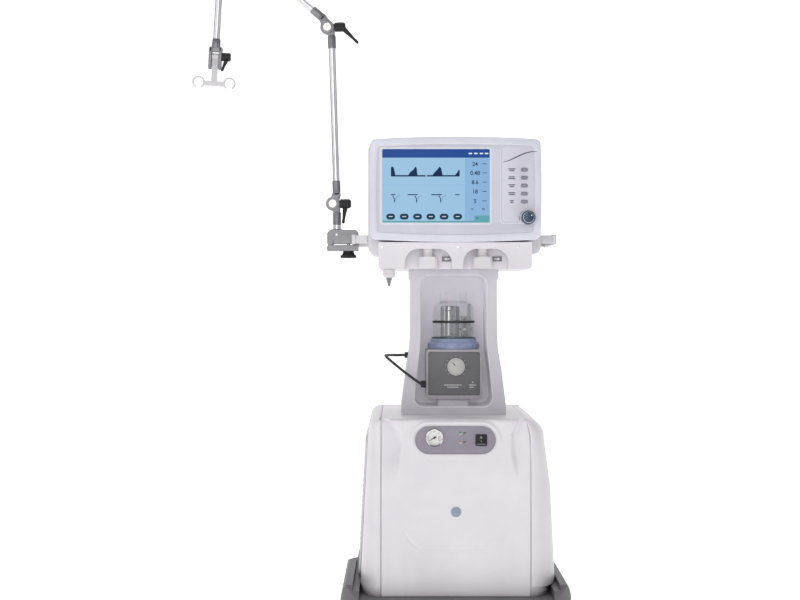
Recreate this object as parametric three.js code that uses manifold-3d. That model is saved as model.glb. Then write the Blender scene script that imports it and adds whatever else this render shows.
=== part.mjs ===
// A mechanical ventilator: a control unit with a screen, on a column with a humidifier, on a wheeled
// cabinet with an air compressor, with a jointed arm that holds the breathing tubes.
// Millimetres, +Z up, the front towards -Y. Every sub-part is one closed solid in its own mesh.
import * as THREE from 'three';
import { mergeVertices } from 'three/addons/utils/BufferGeometryUtils.js';
import Module from 'manifold-3d';

const wasm = await Module();
wasm.setup();

// ---------------------------------------------------------------- driving dimensions

const GAP = 0.4; // between two pieces that touch
const RUN = 0.4; // radial play of a pin in its bore

// The machine is drawn about its own middle plane. The arm reaches far to the left, so the middle of
// the whole object's footprint lies here, and that point on the floor is the origin.
const FOOTPRINT_MIDDLE = { x: -196, y: -13 };

const BASE = { halfX: 290, halfY: 310, corner: 80, bottom: 112, deck: 190, ceiling: 128, skirt: 12 };
const CASTER = { x: 222, y: 232, trail: 28, wheel: 50, sides: 20, width: 24, stem: 8 };
const CABINET = { bottom: 190.4, top: 634, halfY: 250, wall: 6, panel: 188 };
const CONTROLS = { x: -1.5, z: 581.4, width: 202, height: 70, plate: 3 };
const GAUGE = { x: -53.8, z: 588, radius: 22, body: 20 };
const ROCKER = { x: 63, z: 582, frame: 29, well: 24, tilt: 10 };
const FAN = { y: 228, z: 480, radius: 50, hub: 20, blades: 7 };
const COLUMN = { bottom: 634.4, top: 1010.6, halfY: 100, nicheBack: 75 };
const HUMIDIFIER = { bottom: 671, top: 802, front: -75, back: 65 };
const DIAL = { x: 7, z: 757, radius: 23.5, height: 14 };
const JAR = { x: 3, y: -5, radius: 55, wall: 4, flange: 69 };
const HEAD = { halfX: 222, bottom: 1050.4, top: 1335, back: 120, wall: 5, corner: 18 };
const BEZEL = { halfX: 218, bottom: 1079, top: 1342, front: -214, back: -150, wall: 6, corner: 10 };
const SCREEN = { x: -49, z: 1220.6, width: 271.5, height: 185.7 };
const KEYPAD = { x: [117, 210], z: [1129, 1322] };
const KEY = { x: 174.3, width: 17, height: 8, top: 1261, pitch: 20.1, count: 5 };
const KNOB = { x: 183, z: 1139.5, radius: 18, shaft: 3 };
const MANIFOLD = { halfX: 195, bottom: 1011, front: -200, step: -150.4, back: 110 };
const PORTS = { inspiratory: 70, expiratory: -69, y: -178, cup: 26, neck: 12, bore: 11, depth: 25 };
const RAIL = { inner: 255, outer: 265, bottom: 1076.5, top: 1101.5, front: -125, back: 115 };
const CLAMP = { left: -330, y: -83, halfWidth: 21, top: 1115, hinge: -322, knob: -275, stub: -305 };
const ARM = { offset: 11, pivotZ: 1184, post: 462, upper: 346, lower: 301 };
const ARM_ANGLE = { post: -1.8, upper: -49.7, lower: 183.4 };
const KNUCKLE = { ring: 18, cheek: 17, pin: 8, eye: 4.5, half: 7, outside: 11, tube: 9, sleeve: 10.5 };
const LEAD = { diameter: 7, sides: 8 };

// ---------------------------------------------------------------- shaping tools

const radians = THREE.MathUtils.degToRad;

// A closed mesh becomes a solid that can be joined and cut.
function toSolid(geometry) {
  geometry.deleteAttribute('normal');
  geometry.deleteAttribute('uv');
  const merged = mergeVertices(geometry, 1e-4);
  const corners = merged.index.array;
  const triangles = [];
  for (let i = 0; i < corners.length; i += 3) {
    const [a, b, c] = [corners[i], corners[i + 1], corners[i + 2]];
    if (a !== b && b !== c && c !== a) triangles.push(a, b, c);
  }
  return new wasm.Manifold(new wasm.Mesh({
    numProp: 3,
    vertProperties: new Float32Array(merged.attributes.position.array),
    triVerts: new Uint32Array(triangles),
  }));
}

function toGeometry(solid) {
  const { vertProperties, triVerts } = solid.getMesh();
  const geometry = new THREE.BufferGeometry();
  geometry.setAttribute('position', new THREE.BufferAttribute(vertProperties, 3));
  geometry.setIndex(new THREE.BufferAttribute(triVerts, 1));
  geometry.computeVertexNormals();
  return geometry;
}

function block([x0, x1], [y0, y1], [z0, z1]) {
  const box = new THREE.BoxGeometry(x1 - x0, y1 - y0, z1 - z0);
  return toSolid(box.translate((x0 + x1) / 2, (y0 + y1) / 2, (z0 + z1) / 2));
}

// Turns a geometry made about its own Y axis so that the axis points along x, y or z.
function point(geometry, axis) {
  if (axis === 'z') geometry.rotateX(Math.PI / 2);
  if (axis === 'x') geometry.rotateZ(-Math.PI / 2);
  return geometry;
}

function centreOn(axis, along, [a, b]) {
  if (axis === 'x') return [along, a, b];
  if (axis === 'y') return [a, along, b];
  return [a, b, along];
}

// A round bar or cone along an axis; centre is its place in the other two axes, in x, y, z order.
function cone(axis, [r0, r1], [from, to], centre = [0, 0], sides = 16) {
  const bar = new THREE.CylinderGeometry(r1, r0, to - from, sides);
  return toSolid(point(bar, axis).translate(...centreOn(axis, (from + to) / 2, centre)));
}

function rod(axis, radius, span, centre = [0, 0], sides = 16) {
  return cone(axis, [radius, radius], span, centre, sides);
}

// A flat outline pushed along an axis: (x, y) for z, (x, z) for y and (y, z) for x.
function prism(axis, points, [from, to]) {
  const shape = new THREE.Shape(points.map(([a, b]) => new THREE.Vector2(a, b)));
  const body = new THREE.ExtrudeGeometry(shape, { depth: to - from, bevelEnabled: false });
  if (axis === 'z') return toSolid(body.translate(0, 0, from));
  if (axis === 'y') return toSolid(body.rotateX(Math.PI / 2).translate(0, to, 0));
  const upright = new THREE.Matrix4().makeBasis(
    new THREE.Vector3(0, 1, 0), new THREE.Vector3(0, 0, 1), new THREE.Vector3(1, 0, 0));
  return toSolid(body.applyMatrix4(upright).translate(from, 0, 0));
}

// A profile of [radius, height] points, bottom to top along the outside, turned about an axis.
function spin(axis, profile, centre = [0, 0], sides = 24, start = 0) {
  const points = profile.map(([radius, height]) => new THREE.Vector2(radius, height));
  const turned = new THREE.LatheGeometry(points, sides, start);
  return toSolid(point(turned, axis).translate(...centreOn(axis, 0, centre)));
}

// Points on an ellipse's arc, from one angle to another in degrees.
function arc([x, y], [rx, ry], from, to, steps = 8) {
  return Array.from({ length: steps + 1 }, (_, i) => {
    const angle = radians(from + ((to - from) * i) / steps);
    return [x + rx * Math.cos(angle), y + ry * Math.sin(angle)];
  });
}

function roundedRect([x0, x1], [y0, y1], r, steps = 5) {
  return [
    ...arc([x1 - r, y0 + r], [r, r], -90, 0, steps),
    ...arc([x1 - r, y1 - r], [r, r], 0, 90, steps),
    ...arc([x0 + r, y1 - r], [r, r], 90, 180, steps),
    ...arc([x0 + r, y0 + r], [r, r], 180, 270, steps),
  ];
}

function stadium([x, y], width, height, steps = 8) {
  const r = height / 2;
  const reach = width / 2 - r;
  return [...arc([x + reach, y], [r, r], -90, 90, steps), ...arc([x - reach, y], [r, r], 90, 270, steps)];
}

function mirrored(half) {
  return [...half, ...half.map(([x, z]) => [-x, z]).reverse()];
}

// Moves every edge of a counter-clockwise outline inwards by a distance.
function inset(points, distance) {
  const count = points.length;
  const edges = points.map(([ax, ay], i) => {
    const [bx, by] = points[(i + 1) % count];
    const length = Math.hypot(bx - ax, by - ay);
    const [ux, uy] = [(bx - ax) / length, (by - ay) / length];
    return { px: ax - uy * distance, py: ay + ux * distance, ux, uy };
  });
  return edges.map((next, i) => {
    const last = edges[(i + count - 1) % count];
    const cross = last.ux * next.uy - last.uy * next.ux;
    if (Math.abs(cross) < 1e-6) return [next.px, next.py];
    const along = ((next.px - last.px) * next.uy - (next.py - last.py) * next.ux) / cross;
    return [last.px + last.ux * along, last.py + last.uy * along];
  });
}

function union(...solids) {
  return solids.reduce((whole, piece) => whole.add(piece));
}

// ---------------------------------------------------------------- materials and scene tools

function finish(color, roughness, metalness = 0) {
  return new THREE.MeshStandardMaterial({ color, roughness, metalness });
}

const WHITE = finish('#e4e1e8', 0.35);
const WARM_WHITE = finish('#dcd9df', 0.4);
const BASE_GREY = finish('#69686a', 0.55);
const PANEL_GREY = finish('#ada7b0', 0.4);
const DARK = finish('#1b171b', 0.5);
const FACE_GREY = finish('#69696b', 0.5);
const DIAL_IVORY = finish('#beb9b7', 0.45);
const KEY_GREY = finish('#8c8c9a', 0.5);
const KNOB_BLUE = finish('#2b475e', 0.35);
const SCREEN_BLUE = finish('#abd0ec', 0.2);
const CLEAR_BLUE = finish('#92a0c0', 0.1);
const RUBBER = finish('#2a2a2c', 0.8);
const STEEL = finish('#b9b9bc', 0.25, 1);
const SATIN_STEEL = finish('#c9c7c9', 0.4, 1);
const CAST_ALLOY = finish('#a5a4a4', 0.45, 0.8);
const IRON = finish('#55585c', 0.6, 0.6);

const machine = new THREE.Group();
machine.position.set(-FOOTPRINT_MIDDLE.x, -FOOTPRINT_MIDDLE.y, 0);

function place(parent, x = 0, y = 0, z = 0) {
  const group = new THREE.Group();
  group.position.set(x, y, z);
  parent.add(group);
  return group;
}

function add(parent, name, solid, material) {
  const mesh = new THREE.Mesh(toGeometry(solid), material);
  mesh.name = name;
  parent.add(mesh);
  return mesh;
}

// ---------------------------------------------------------------- base and casters

// Seen from the front the skirt is round-shouldered and stands up as a wing on each side of the
// cabinet. Both ends are round too, and the wings' outer curve slopes down towards the back.
function baseTray() {
  const { halfX, halfY, corner, bottom, deck, ceiling, skirt } = BASE;
  const shoulder = 110;
  const wing = arc([halfX - shoulder, bottom + 60], [shoulder, shoulder], 0, 45, 5);
  const wingTop = wing[wing.length - 1][0];
  const seat = CABINET.bottom + 22;
  const front = mirrored([[halfX, bottom], ...wing, [wingTop, seat], [wingTop - 16, seat],
    [wingTop - 16, deck]]);
  const side = mirrored([[halfY, bottom],
    ...arc([halfY - shoulder, bottom + 36], [shoulder, shoulder], 0, 45, 5)]);
  const plan = roundedRect([-halfX, halfX], [-halfY, halfY], corner, 6);
  const hollow = roundedRect([skirt - halfX, halfX - skirt], [skirt - halfY, halfY - skirt],
    corner - skirt, 6);
  let tray = prism('y', front, [-halfY, halfY])
    .intersect(prism('x', side, [-halfX, halfX]))
    .intersect(prism('z', plan, [bottom, 300]))
    .subtract(prism('z', hollow, [bottom - 5, ceiling]));
  const slope = [[-60, 250], [250, deck], [halfY + 1, deck], [halfY + 1, 260], [-60, 260]];
  tray = tray.subtract(prism('x', slope, [wingTop, halfX + 1]))
    .subtract(prism('x', slope, [-halfX - 1, -wingTop]));
  for (const x of [-CASTER.x, CASTER.x]) {
    for (const y of [-CASTER.y, CASTER.y]) {
      tray = tray.subtract(rod('z', CASTER.stem + 0.5, [ceiling - 1, ceiling + 22], [x, y], 16));
    }
  }
  return tray;
}

const LEG = { inner: 15.5, outer: 19.5 };
const PEDAL_PIN = { y: 56, z: 104, radius: 2.5 };
const AXLE = { radius: 5, z: CASTER.wheel * Math.cos(Math.PI / CASTER.sides) };

// Drawn about the swivel axis, with the wheel trailing towards +Y.
function casterFork(withPedal) {
  const leg = [[-22, 111.5], [-22, 104], [15, 53], [19, 40], [37, 40], [41, 53], [46, 90], [62, 98],
    [62, 111.5]];
  let fork = union(
    prism('x', leg, [LEG.inner, LEG.outer]),
    prism('x', leg, [-LEG.outer, -LEG.inner]),
    rod('z', 28, [104, BASE.ceiling - GAP]),
    rod('x', AXLE.radius, [-17, 17], [CASTER.trail, AXLE.z], 16),
    rod('z', CASTER.stem, [BASE.ceiling - 2, BASE.ceiling + 20], [0, 0], 16));
  if (withPedal) {
    fork = fork.add(rod('x', PEDAL_PIN.radius, [-17, 17], [PEDAL_PIN.y, PEDAL_PIN.z], 12));
  }
  return fork;
}

function casterWheel() {
  const half = CASTER.width / 2;
  const bore = AXLE.radius + RUN;
  const { wheel } = CASTER;
  return spin('x', [[bore, -half], [wheel - 6, -half], [wheel - 2, 2 - half], [wheel, 6 - half],
    [wheel, half - 6], [wheel - 2, half - 2], [wheel - 6, half], [bore, half], [bore, -half]],
  [CASTER.trail, AXLE.z], CASTER.sides, Math.PI / CASTER.sides);
}

function brakePedal() {
  const { y, z, radius } = PEDAL_PIN;
  const neck = [[y, z - 5], [70, 95], [76, 94], [76, 99], [70, 101], [y, z + 5]];
  const tread = [[68, 95.5], [98, 88], [102, 88], [103, 92], [100, 95], [70, 102]];
  return union(
    rod('x', 5, [-15, 15], [y, z], 16),
    prism('x', neck, [-15, 15]),
    prism('x', tread, [-20, 20]),
  ).subtract(rod('x', radius + RUN, [-16, 16], [y, z], 12));
}

function addCasters() {
  for (const [depth, y, turn] of [['front', -CASTER.y, Math.PI], ['rear', CASTER.y, 0]]) {
    for (const [side, x] of [['left', -CASTER.x], ['right', CASTER.x]]) {
      const caster = place(machine, x, y, 0);
      caster.rotation.z = turn;
      add(caster, `caster_fork_${depth}_${side}`, casterFork(depth === 'front'), STEEL);
      add(caster, `caster_wheel_${depth}_${side}`, casterWheel(), RUBBER);
      if (depth === 'front') add(caster, `brake_pedal_${side}`, brakePedal(), BASE_GREY);
    }
  }
}

// ---------------------------------------------------------------- cabinet

// The moulded cabinet leans in towards its top. Its right shoulder is full and its left one is tight.
const CABINET_FRONT_VIEW = [
  [241, CABINET.bottom], [241, 213.4], [257, 213.4], [256, 230], [245, 460],
  ...arc([176, 581], [53, 53], 0, 90, 8),
  ...arc([-198, 612], [22, 22], 90, 180, 5),
  [-241, 213.4], [-241, CABINET.bottom],
];
const CABINET_PLAN = [
  ...arc([CABINET.panel, -150], [69, 100], -90, 0, 8),
  ...arc([222, 215], [35, 35], 0, 90, 5),
  ...arc([-222, 215], [35, 35], 90, 180, 5),
  ...arc([-CABINET.panel, -165], [69, 85], 180, 270, 8),
];
const FRONT_PANEL = [[-188, CABINET.bottom], [188, CABINET.bottom], [188, 560], [186, 585], [183, 607],
  [176, CABINET.top], [-188, CABINET.top]];

function cabinetShell() {
  const { halfY, wall, bottom, top } = CABINET;
  const outer = prism('y', CABINET_FRONT_VIEW, [-halfY, halfY])
    .intersect(prism('z', CABINET_PLAN, [bottom - 1, top + 1]));
  const inner = prism('y', inset(CABINET_FRONT_VIEW, wall), [wall - halfY, halfY - wall])
    .intersect(prism('z', inset(CABINET_PLAN, wall), [bottom, top]));
  const mouth = block([-234, 234], [-200, halfY - wall], [bottom - 1, bottom + wall + 1]);
  const frontMouth = block([-180, 180], [wall - halfY, 0], [bottom - 1, bottom + wall + 1]);
  return outer.subtract(inner).subtract(mouth).subtract(frontMouth);
}

const PLATE_OUTLINE = stadium([CONTROLS.x, CONTROLS.z], CONTROLS.width, CONTROLS.height);
const ROCKER_HOUSING = { half: 13.3, depth: 20 };

function panelHoles(from, to) {
  const { half } = ROCKER_HOUSING;
  const side = half + RUN;
  return union(
    rod('y', GAUGE.body + RUN, [from, to], [GAUGE.x, GAUGE.z]),
    block([ROCKER.x - side, ROCKER.x + side], [from, to], [ROCKER.z - side, ROCKER.z + side]));
}

function cabinetPanels() {
  const { halfY, wall, top, panel, bottom } = CABINET;
  const shell = cabinetShell();
  const frontCut = prism('y', FRONT_PANEL, [-halfY - 1, wall - halfY]);
  const deckCut = block([-panel, panel], [wall - halfY + GAP, halfY - wall - GAP], [top - wall, top + 1]);
  const backCut = block([-200, 200], [halfY - wall, halfY + 1], [bottom - 1, top + 1]);
  const seams = union(
    prism('y', inset(FRONT_PANEL, -GAP), [-halfY - 2, wall - halfY + GAP]),
    block([-panel - GAP, panel + GAP], [-halfY - 2, halfY + 2], [top - wall - 1, top + 2]),
    block([-200 - GAP, 200 + GAP], [halfY - wall - GAP, halfY + 2], [bottom - 2, top + 2]));
  const sides = shell.subtract(seams);
  return {
    front: shell.intersect(frontCut).subtract(panelHoles(-halfY - 1, wall - halfY + 1)),
    top: shell.intersect(deckCut),
    back: cabinetBack(shell.intersect(backCut)),
    left: sides.intersect(block([-300, 0], [-300, 300], [0, 700])),
    right: sides.intersect(block([0, 300], [-300, 300], [0, 700])),
  };
}

// The back panel carries the cooling fan's slots and spindle, and the recessed mains inlet.
function cabinetBack(panel) {
  const { halfY, wall } = CABINET;
  const inside = halfY - wall;
  let back = panel.add(rod('y', 3, [FAN.y - 8, inside + 1], [0, FAN.z], 12));
  for (const row of [-45, -33, -21, -9, 9, 21, 33, 45]) {
    const half = Math.sqrt(52 * 52 - row * row);
    const slot = block([-half, half], [inside - 1, halfY + 1], [FAN.z + row - 3, FAN.z + row + 3]);
    back = back.subtract(slot);
  }
  return back
    .add(block([90, 138], [inside - 24, inside + 1], [228, 262]))
    .subtract(block([100, 128], [inside - 20, halfY + 1], [235, 255]));
}

function filterCover() {
  const outline = [[-241.7, 214.5], [-222.1, 583], [-233, 580], [-256, 225], [-254, 216]];
  return prism('y', outline.reverse(), [-120, 190])
    .intersect(prism('x', roundedRect([-120, 190], [214.5, 583], 24), [-260, -200]));
}

function controlPlate() {
  const { halfY } = CABINET;
  const front = -halfY - GAP - CONTROLS.plate;
  const { half, depth } = ROCKER_HOUSING;
  const frame = ROCKER.frame / 2;
  const well = ROCKER.well / 2;
  const cross = ([y0, y1], side) =>
    block([ROCKER.x - side, ROCKER.x + side], [y0, y1], [ROCKER.z - side, ROCKER.z + side]);
  return prism('y', PLATE_OUTLINE, [front, -halfY - GAP])
    .add(cross([front - 2, front + 1], frame))
    .add(cross([front, front + depth], half))
    .subtract(cross([front - 3, front + depth - 3], well))
    .subtract(rod('x', 1.9, [ROCKER.x - 12.8, ROCKER.x + 12.8], [front + 7, ROCKER.z], 12))
    .subtract(rod('y', GAUGE.body + RUN, [front - 1, 0], [GAUGE.x, GAUGE.z]));
}

function pressureGauge() {
  const rim = -CABINET.halfY - GAP - CONTROLS.plate - GAP;
  return rod('y', GAUGE.radius, [rim - 4, rim], [GAUGE.x, GAUGE.z], 24)
    .add(rod('y', GAUGE.body, [rim - 1, -225], [GAUGE.x, GAUGE.z]))
    .subtract(rod('y', GAUGE.radius - 3, [rim - 5, rim], [GAUGE.x, GAUGE.z], 20))
    .subtract(rod('y', 1.6, [rim - 1, rim + 8], [GAUGE.x, GAUGE.z], 8));
}

// A thin pointer on its spindle, drawn about the spindle's axis at the dial's face.
function gaugeNeedle() {
  return prism('y', [[-1.6, -4], [1.6, -4], [0.5, 15], [-0.5, 15]], [-2, -1])
    .add(rod('y', 2.6, [-2.2, -0.8], [0, 0], 12))
    .add(rod('y', 1.2, [-1, 6], [0, 0], 8));
}

// Drawn about its own trunnions, with the front towards -Y.
function powerRocker() {
  const section = [[-9, -10.4], [2, -10], [5, 0], [2, 10], [-9, 10.4], [-6.6, 0]];
  return prism('x', section, [-11.5, 11.5]).add(rod('x', 1.5, [-12.6, 12.6], [0, 0], 12));
}

function compressor() {
  const motor = rod('x', 60, [-20, 130], [20, 265], 20);
  const crankcase = block([-90, -18], [-30, 70], [205, 325]);
  const cylinder = block([-80, -30], [-20, 60], [320, 400]);
  const feet = block([-95, 135], [-35, 75], [CABINET.bottom, 206]);
  return union(motor, crankcase, cylinder, feet);
}

function airTank() {
  const tank = spin('x', [[0, -170], [30, -166], [50, -150], [55, -130], [55, 130], [50, 150], [30, 166],
    [0, 170]], [170, 300], 16);
  const saddle = (x) => block([x - 15, x + 15], [140, 200], [CABINET.bottom, 262]);
  return union(tank, saddle(-110), saddle(110), cone('x', [8, 8], [165, 185], [170, 300], 12));
}

// Drawn about the spindle, which is along Y.
function fanRotor() {
  let rotor = rod('y', FAN.hub, [-10, 8], [0, 0], 24);
  for (let i = 0; i < FAN.blades; i += 1) {
    const blade = new THREE.BoxGeometry(FAN.radius - 15, 2, 17);
    blade.rotateX(radians(35)).translate(15 + (FAN.radius - 15) / 2, -1, 0);
    rotor = rotor.add(toSolid(blade.rotateY((i * 2 * Math.PI) / FAN.blades)));
  }
  return rotor.subtract(rod('y', 3 + RUN, [-9, 9], [0, 0], 12));
}

function addCabinet() {
  const panels = cabinetPanels();
  add(machine, 'cabinet_front', panels.front, WHITE);
  add(machine, 'cabinet_side_left', panels.left, WHITE);
  add(machine, 'cabinet_side_right', panels.right, WHITE);
  add(machine, 'cabinet_back', panels.back, WHITE);
  add(machine, 'cabinet_top', panels.top, WHITE);
  add(machine, 'filter_cover', filterCover(), WARM_WHITE);
  add(machine, 'control_plate', controlPlate(), PANEL_GREY);
  add(machine, 'pressure_gauge', pressureGauge(), SATIN_STEEL);
  const dialFace = -CABINET.halfY - 2 * GAP - CONTROLS.plate;
  const needle = add(place(machine, GAUGE.x, dialFace, GAUGE.z), 'gauge_needle', gaugeNeedle(), DARK);
  needle.rotation.y = radians(-120);
  const trunnion = -CABINET.halfY - GAP - CONTROLS.plate + 7;
  const rocker = add(place(machine, ROCKER.x, trunnion, ROCKER.z), 'power_rocker', powerRocker(), DARK);
  rocker.rotation.x = radians(-ROCKER.tilt);
  add(machine, 'compressor', compressor(), IRON);
  add(machine, 'air_tank', airTank(), IRON);
  add(place(machine, 0, FAN.y, FAN.z), 'fan_rotor', fanRotor(), DARK);
}

// ---------------------------------------------------------------- column and humidifier

// The column's sides swell towards its foot, and its niche is open to the front.
function columnShell() {
  const { bottom, top, halfY, nicheBack } = COLUMN;
  const half = [[137, bottom], [137, 652], [131, 700], [125, 750], [116, 800], [113, 860], [113, 982],
    [117, 988], [117, top]];
  const niche = mirrored([
    ...arc([79, 675], [23, 23], -90, 0, 4), [94, 760], [87, 850],
    ...arc([60, 970], [28, 28], 0, 90, 5)]);
  const plan = roundedRect([-140, 140], [-halfY, halfY], 6, 3);
  return prism('y', mirrored(half), [-halfY, halfY])
    .intersect(prism('z', plan, [bottom - 1, top + 1]))
    .subtract(prism('y', niche, [-halfY - 1, nicheBack]))
    .add(block([-42, 42], [-62, 50], [650, HUMIDIFIER.bottom - GAP]))
    .add(rod('x', 8, [-128, -114], [45, 783], 16));
}

function humidifierHousing() {
  const { bottom, top, front, back } = HUMIDIFIER;
  return prism('y', roundedRect([-72, 76], [bottom, top], 8, 4), [front, back])
    .subtract(prism('y', roundedRect([-65, 70], [682, 795], 3, 2), [front - 1, front + 2]))
    .subtract(rod('y', 4, [front, front + 25], [DIAL.x, DIAL.z], 16));
}

// Drawn about its spindle on the housing's face, with the front towards -Y.
function humidifierDial() {
  const { radius, height } = DIAL;
  return cone('y', [radius - 1.5, radius], [-height, 0], [0, 0], 24)
    .add(rod('y', 3.6, [-1, 20], [0, 0], 16));
}

// The clear chamber: a flange that locks on the heater plate, a jar, a domed top and two tube ports.
function chamberJar() {
  const { x, y, radius, wall, flange } = JAR;
  const foot = HUMIDIFIER.top + GAP;
  const inner = radius - wall;
  const shell = spin('z', [[inner, foot], [flange, foot], [flange, foot + 16], [60, 829],
    [radius, 831], [radius, 912], [46, 926], [30, 931], [0, 932], [0, 928], [28, 927], [43, 922],
    [inner, 910], [inner, foot]], [x, y]);
  const port = (side) => rod('z', 11, [926, 953], [x + side, y], 12);
  const bore = (side) => rod('z', 8.5, [920, 954], [x + side, y], 8);
  return union(shell, port(-26), port(26)).subtract(bore(-26)).subtract(bore(26));
}

function chamberCore() {
  const { x, y } = JAR;
  const foot = HUMIDIFIER.top + GAP;
  return spin('z', [[0, foot], [49, foot], [49, foot + 3], [26, foot + 5], [26, 871], [27.5, 872],
    [27.5, 876], [26, 877], [26, 915], [22, 917], [0, 917]], [x - 9, y], 20)
    .intersect(rod('z', 50.4, [700, 1000], [x, y], 24));
}

const GLAND = { x: -79, z: 711, block: [-74, -58], tip: -100 };

function leadGland() {
  const { x, z, tip } = GLAND;
  return block([-85, -72 - GAP], GLAND.block, [z - 9, z + 9])
    .add(cone('y', [4.5, 6.2], [tip, GLAND.block[0] + 1], [x, z], 16));
}

// The sensor lead's route, from the gland round the column's front edge to the boss on its side.
const LEAD_ROUTE = [
  [-79, -100.4, 711], [-79, -109, 711], [-80, -118, 712], [-84, -126, 714.5], [-92, -131.5, 719.5],
  [-103, -134, 727], [-115, -134, 736], [-128, -132, 745.5], [-140, -128.5, 755], [-152, -123, 764.5],
  [-162, -115, 772.5], [-169.5, -104.5, 778.5], [-174.5, -92, 782.5], [-177, -78, 785],
  [-178, -63, 786], [-177.5, -47, 786], [-175.5, -31, 785.5], [-172, -15, 785], [-167, 0.5, 784.5],
  [-161, 14, 784], [-154, 26, 783.5], [-146.5, 35.5, 783], [-139, 42, 783], [-133.5, 44.7, 783],
  [-128.4, 45, 783],
];

function humidifierLead() {
  const route = new THREE.CatmullRomCurve3(LEAD_ROUTE.map((p) => new THREE.Vector3(...p)));
  const section = new THREE.Shape(
    arc([0, 0], [LEAD.diameter / 2, LEAD.diameter / 2], 0, 360, LEAD.sides).slice(0, -1)
      .map(([a, b]) => new THREE.Vector2(a, b)));
  const steps = Math.round(route.getLength() / (2.5 * LEAD.diameter)) * 2;
  return toSolid(new THREE.ExtrudeGeometry(section, { steps, bevelEnabled: false, extrudePath: route }));
}

function addColumn() {
  add(machine, 'column_shell', columnShell(), WHITE);
  add(machine, 'humidifier_housing', humidifierHousing(), FACE_GREY);
  const dial = place(machine, DIAL.x, HUMIDIFIER.front + 2 - GAP, DIAL.z);
  add(dial, 'humidifier_dial', humidifierDial(), DIAL_IVORY);
  add(machine, 'chamber_jar', chamberJar(), CLEAR_BLUE);
  add(machine, 'chamber_core', chamberCore(), STEEL);
  add(machine, 'lead_gland', leadGland(), RUBBER);
  add(machine, 'humidifier_lead', humidifierLead(), RUBBER);
}

// ---------------------------------------------------------------- control unit

const GAS_INLETS = { x: [-60, 60], z: 1120, radius: 9, reach: 25 };

function mainChassis() {
  const { halfX, bottom, top, back, wall, corner } = HEAD;
  const mouth = BEZEL.back + GAP;
  const outline = roundedRect([-halfX, halfX], [bottom, top], corner, 5);
  let chassis = prism('y', outline, [mouth, back])
    .subtract(prism('y', inset(outline, wall), [mouth - 1, back - wall]));
  for (const x of GAS_INLETS.x) {
    chassis = chassis.add(
      rod('y', GAS_INLETS.radius, [back - 1, back + GAS_INLETS.reach], [x, GAS_INLETS.z], 20));
  }
  return chassis;
}

function bezelOutline() {
  const { halfX, bottom, top, corner } = BEZEL;
  return roundedRect([-halfX, halfX], [bottom, top], corner, 4);
}

function keyCentres() {
  return Array.from({ length: KEY.count }, (_, i) => KEY.top - i * KEY.pitch);
}

// The holes that the keys and the knob's shaft pass through.
function keypadHoles([from, to]) {
  const holes = keyCentres().map((z) =>
    prism('y', stadium([KEY.x, z], KEY.width + 1, KEY.height + 1, 5), [from, to]));
  return union(...holes, rod('y', KNOB.shaft + RUN, [from, to], [KNOB.x, KNOB.z], 16));
}

function frontBezel() {
  const { front, back, wall } = BEZEL;
  const { x, z, width, height } = SCREEN;
  const outline = bezelOutline();
  const pad = roundedRect(KEYPAD.x, KEYPAD.z, 6, 3);
  return prism('y', outline, [front, back])
    .subtract(prism('y', inset(outline, wall), [front + wall, back + 1]))
    .subtract(block([x - width / 2, x + width / 2], [front - 1, front + wall + 1],
      [z - height / 2, z + height / 2]))
    .subtract(prism('y', pad, [front - 1, front + 2]))
    .subtract(keypadHoles([front, front + wall + 1]));
}

function displayModule() {
  const { x, z, width, height } = SCREEN;
  const face = BEZEL.front + BEZEL.wall + GAP;
  return block([x - width / 2 - 7, x + width / 2 + 7], [face, face + 14],
    [z - height / 2 - 7, z + height / 2 + 7]);
}

function keypadPanel() {
  const { front } = BEZEL;
  const pad = roundedRect([KEYPAD.x[0] + 0.5, KEYPAD.x[1] - 0.5], [KEYPAD.z[0] + 0.5, KEYPAD.z[1] - 0.5],
    5.5, 3);
  return prism('y', pad, [front - 0.4, front + 2 - GAP]).subtract(keypadHoles([front - 1, front + 3]));
}

// Drawn about its own middle, with the front towards -Y.
function key() {
  return prism('y', stadium([0, 0], KEY.width, KEY.height, 5), [-2.2, 9]);
}

function encoderShaft() {
  return rod('y', KNOB.shaft, [-20, 14], [0, 0], 16)
    .add(rod('y', 9, [7.5, 12]));
}

function encoderKnob() {
  return cone('y', [KNOB.radius - 2, KNOB.radius], [-26, -3.2], [0, 0], 24)
    .subtract(rod('y', KNOB.shaft + RUN, [-21, 0], [0, 0], 16));
}

// The block that holds the valves. Two round-topped bays in its front leave room for the port turrets.
function manifoldBlock() {
  const { halfX, bottom, front, step, back } = MANIFOLD;
  const section = [[front, bottom], [back, bottom], [back, HEAD.bottom - GAP], [step, HEAD.bottom - GAP],
    [step, BEZEL.bottom - GAP], [front, BEZEL.bottom - GAP]];
  const bay = (x0, x1) => prism('y', [[x0, bottom - 1], [x1, bottom - 1],
    ...arc([x1 - 36, 1062 - 36], [36, 36], 0, 90, 6), ...arc([x0 + 36, 1062 - 36], [36, 36], 90, 180, 6)],
  [front - 1, -160]);
  const outline = [...arc([halfX - 8, bottom + 8], [8, 8], -90, 0, 3), [halfX, 1100], [-halfX, 1100],
    ...arc([8 - halfX, bottom + 8], [8, 8], 180, 270, 3)];
  let body = prism('x', section, [-halfX, halfX])
    .intersect(prism('y', outline, [front, back]))
    .subtract(bay(-128, -8))
    .subtract(bay(20.5, 135))
    .subtract(rod('z', 8.5, [bottom - 1, bottom + 16], [TRAP.x, TRAP.y], 16));
  for (const x of [PORTS.expiratory, PORTS.inspiratory]) {
    body = body.subtract(rod('z', PORTS.neck + RUN, [1050, 1068], [x, PORTS.y], 20));
  }
  return body;
}

const TRAP = { x: -168, y: -172 };

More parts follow.
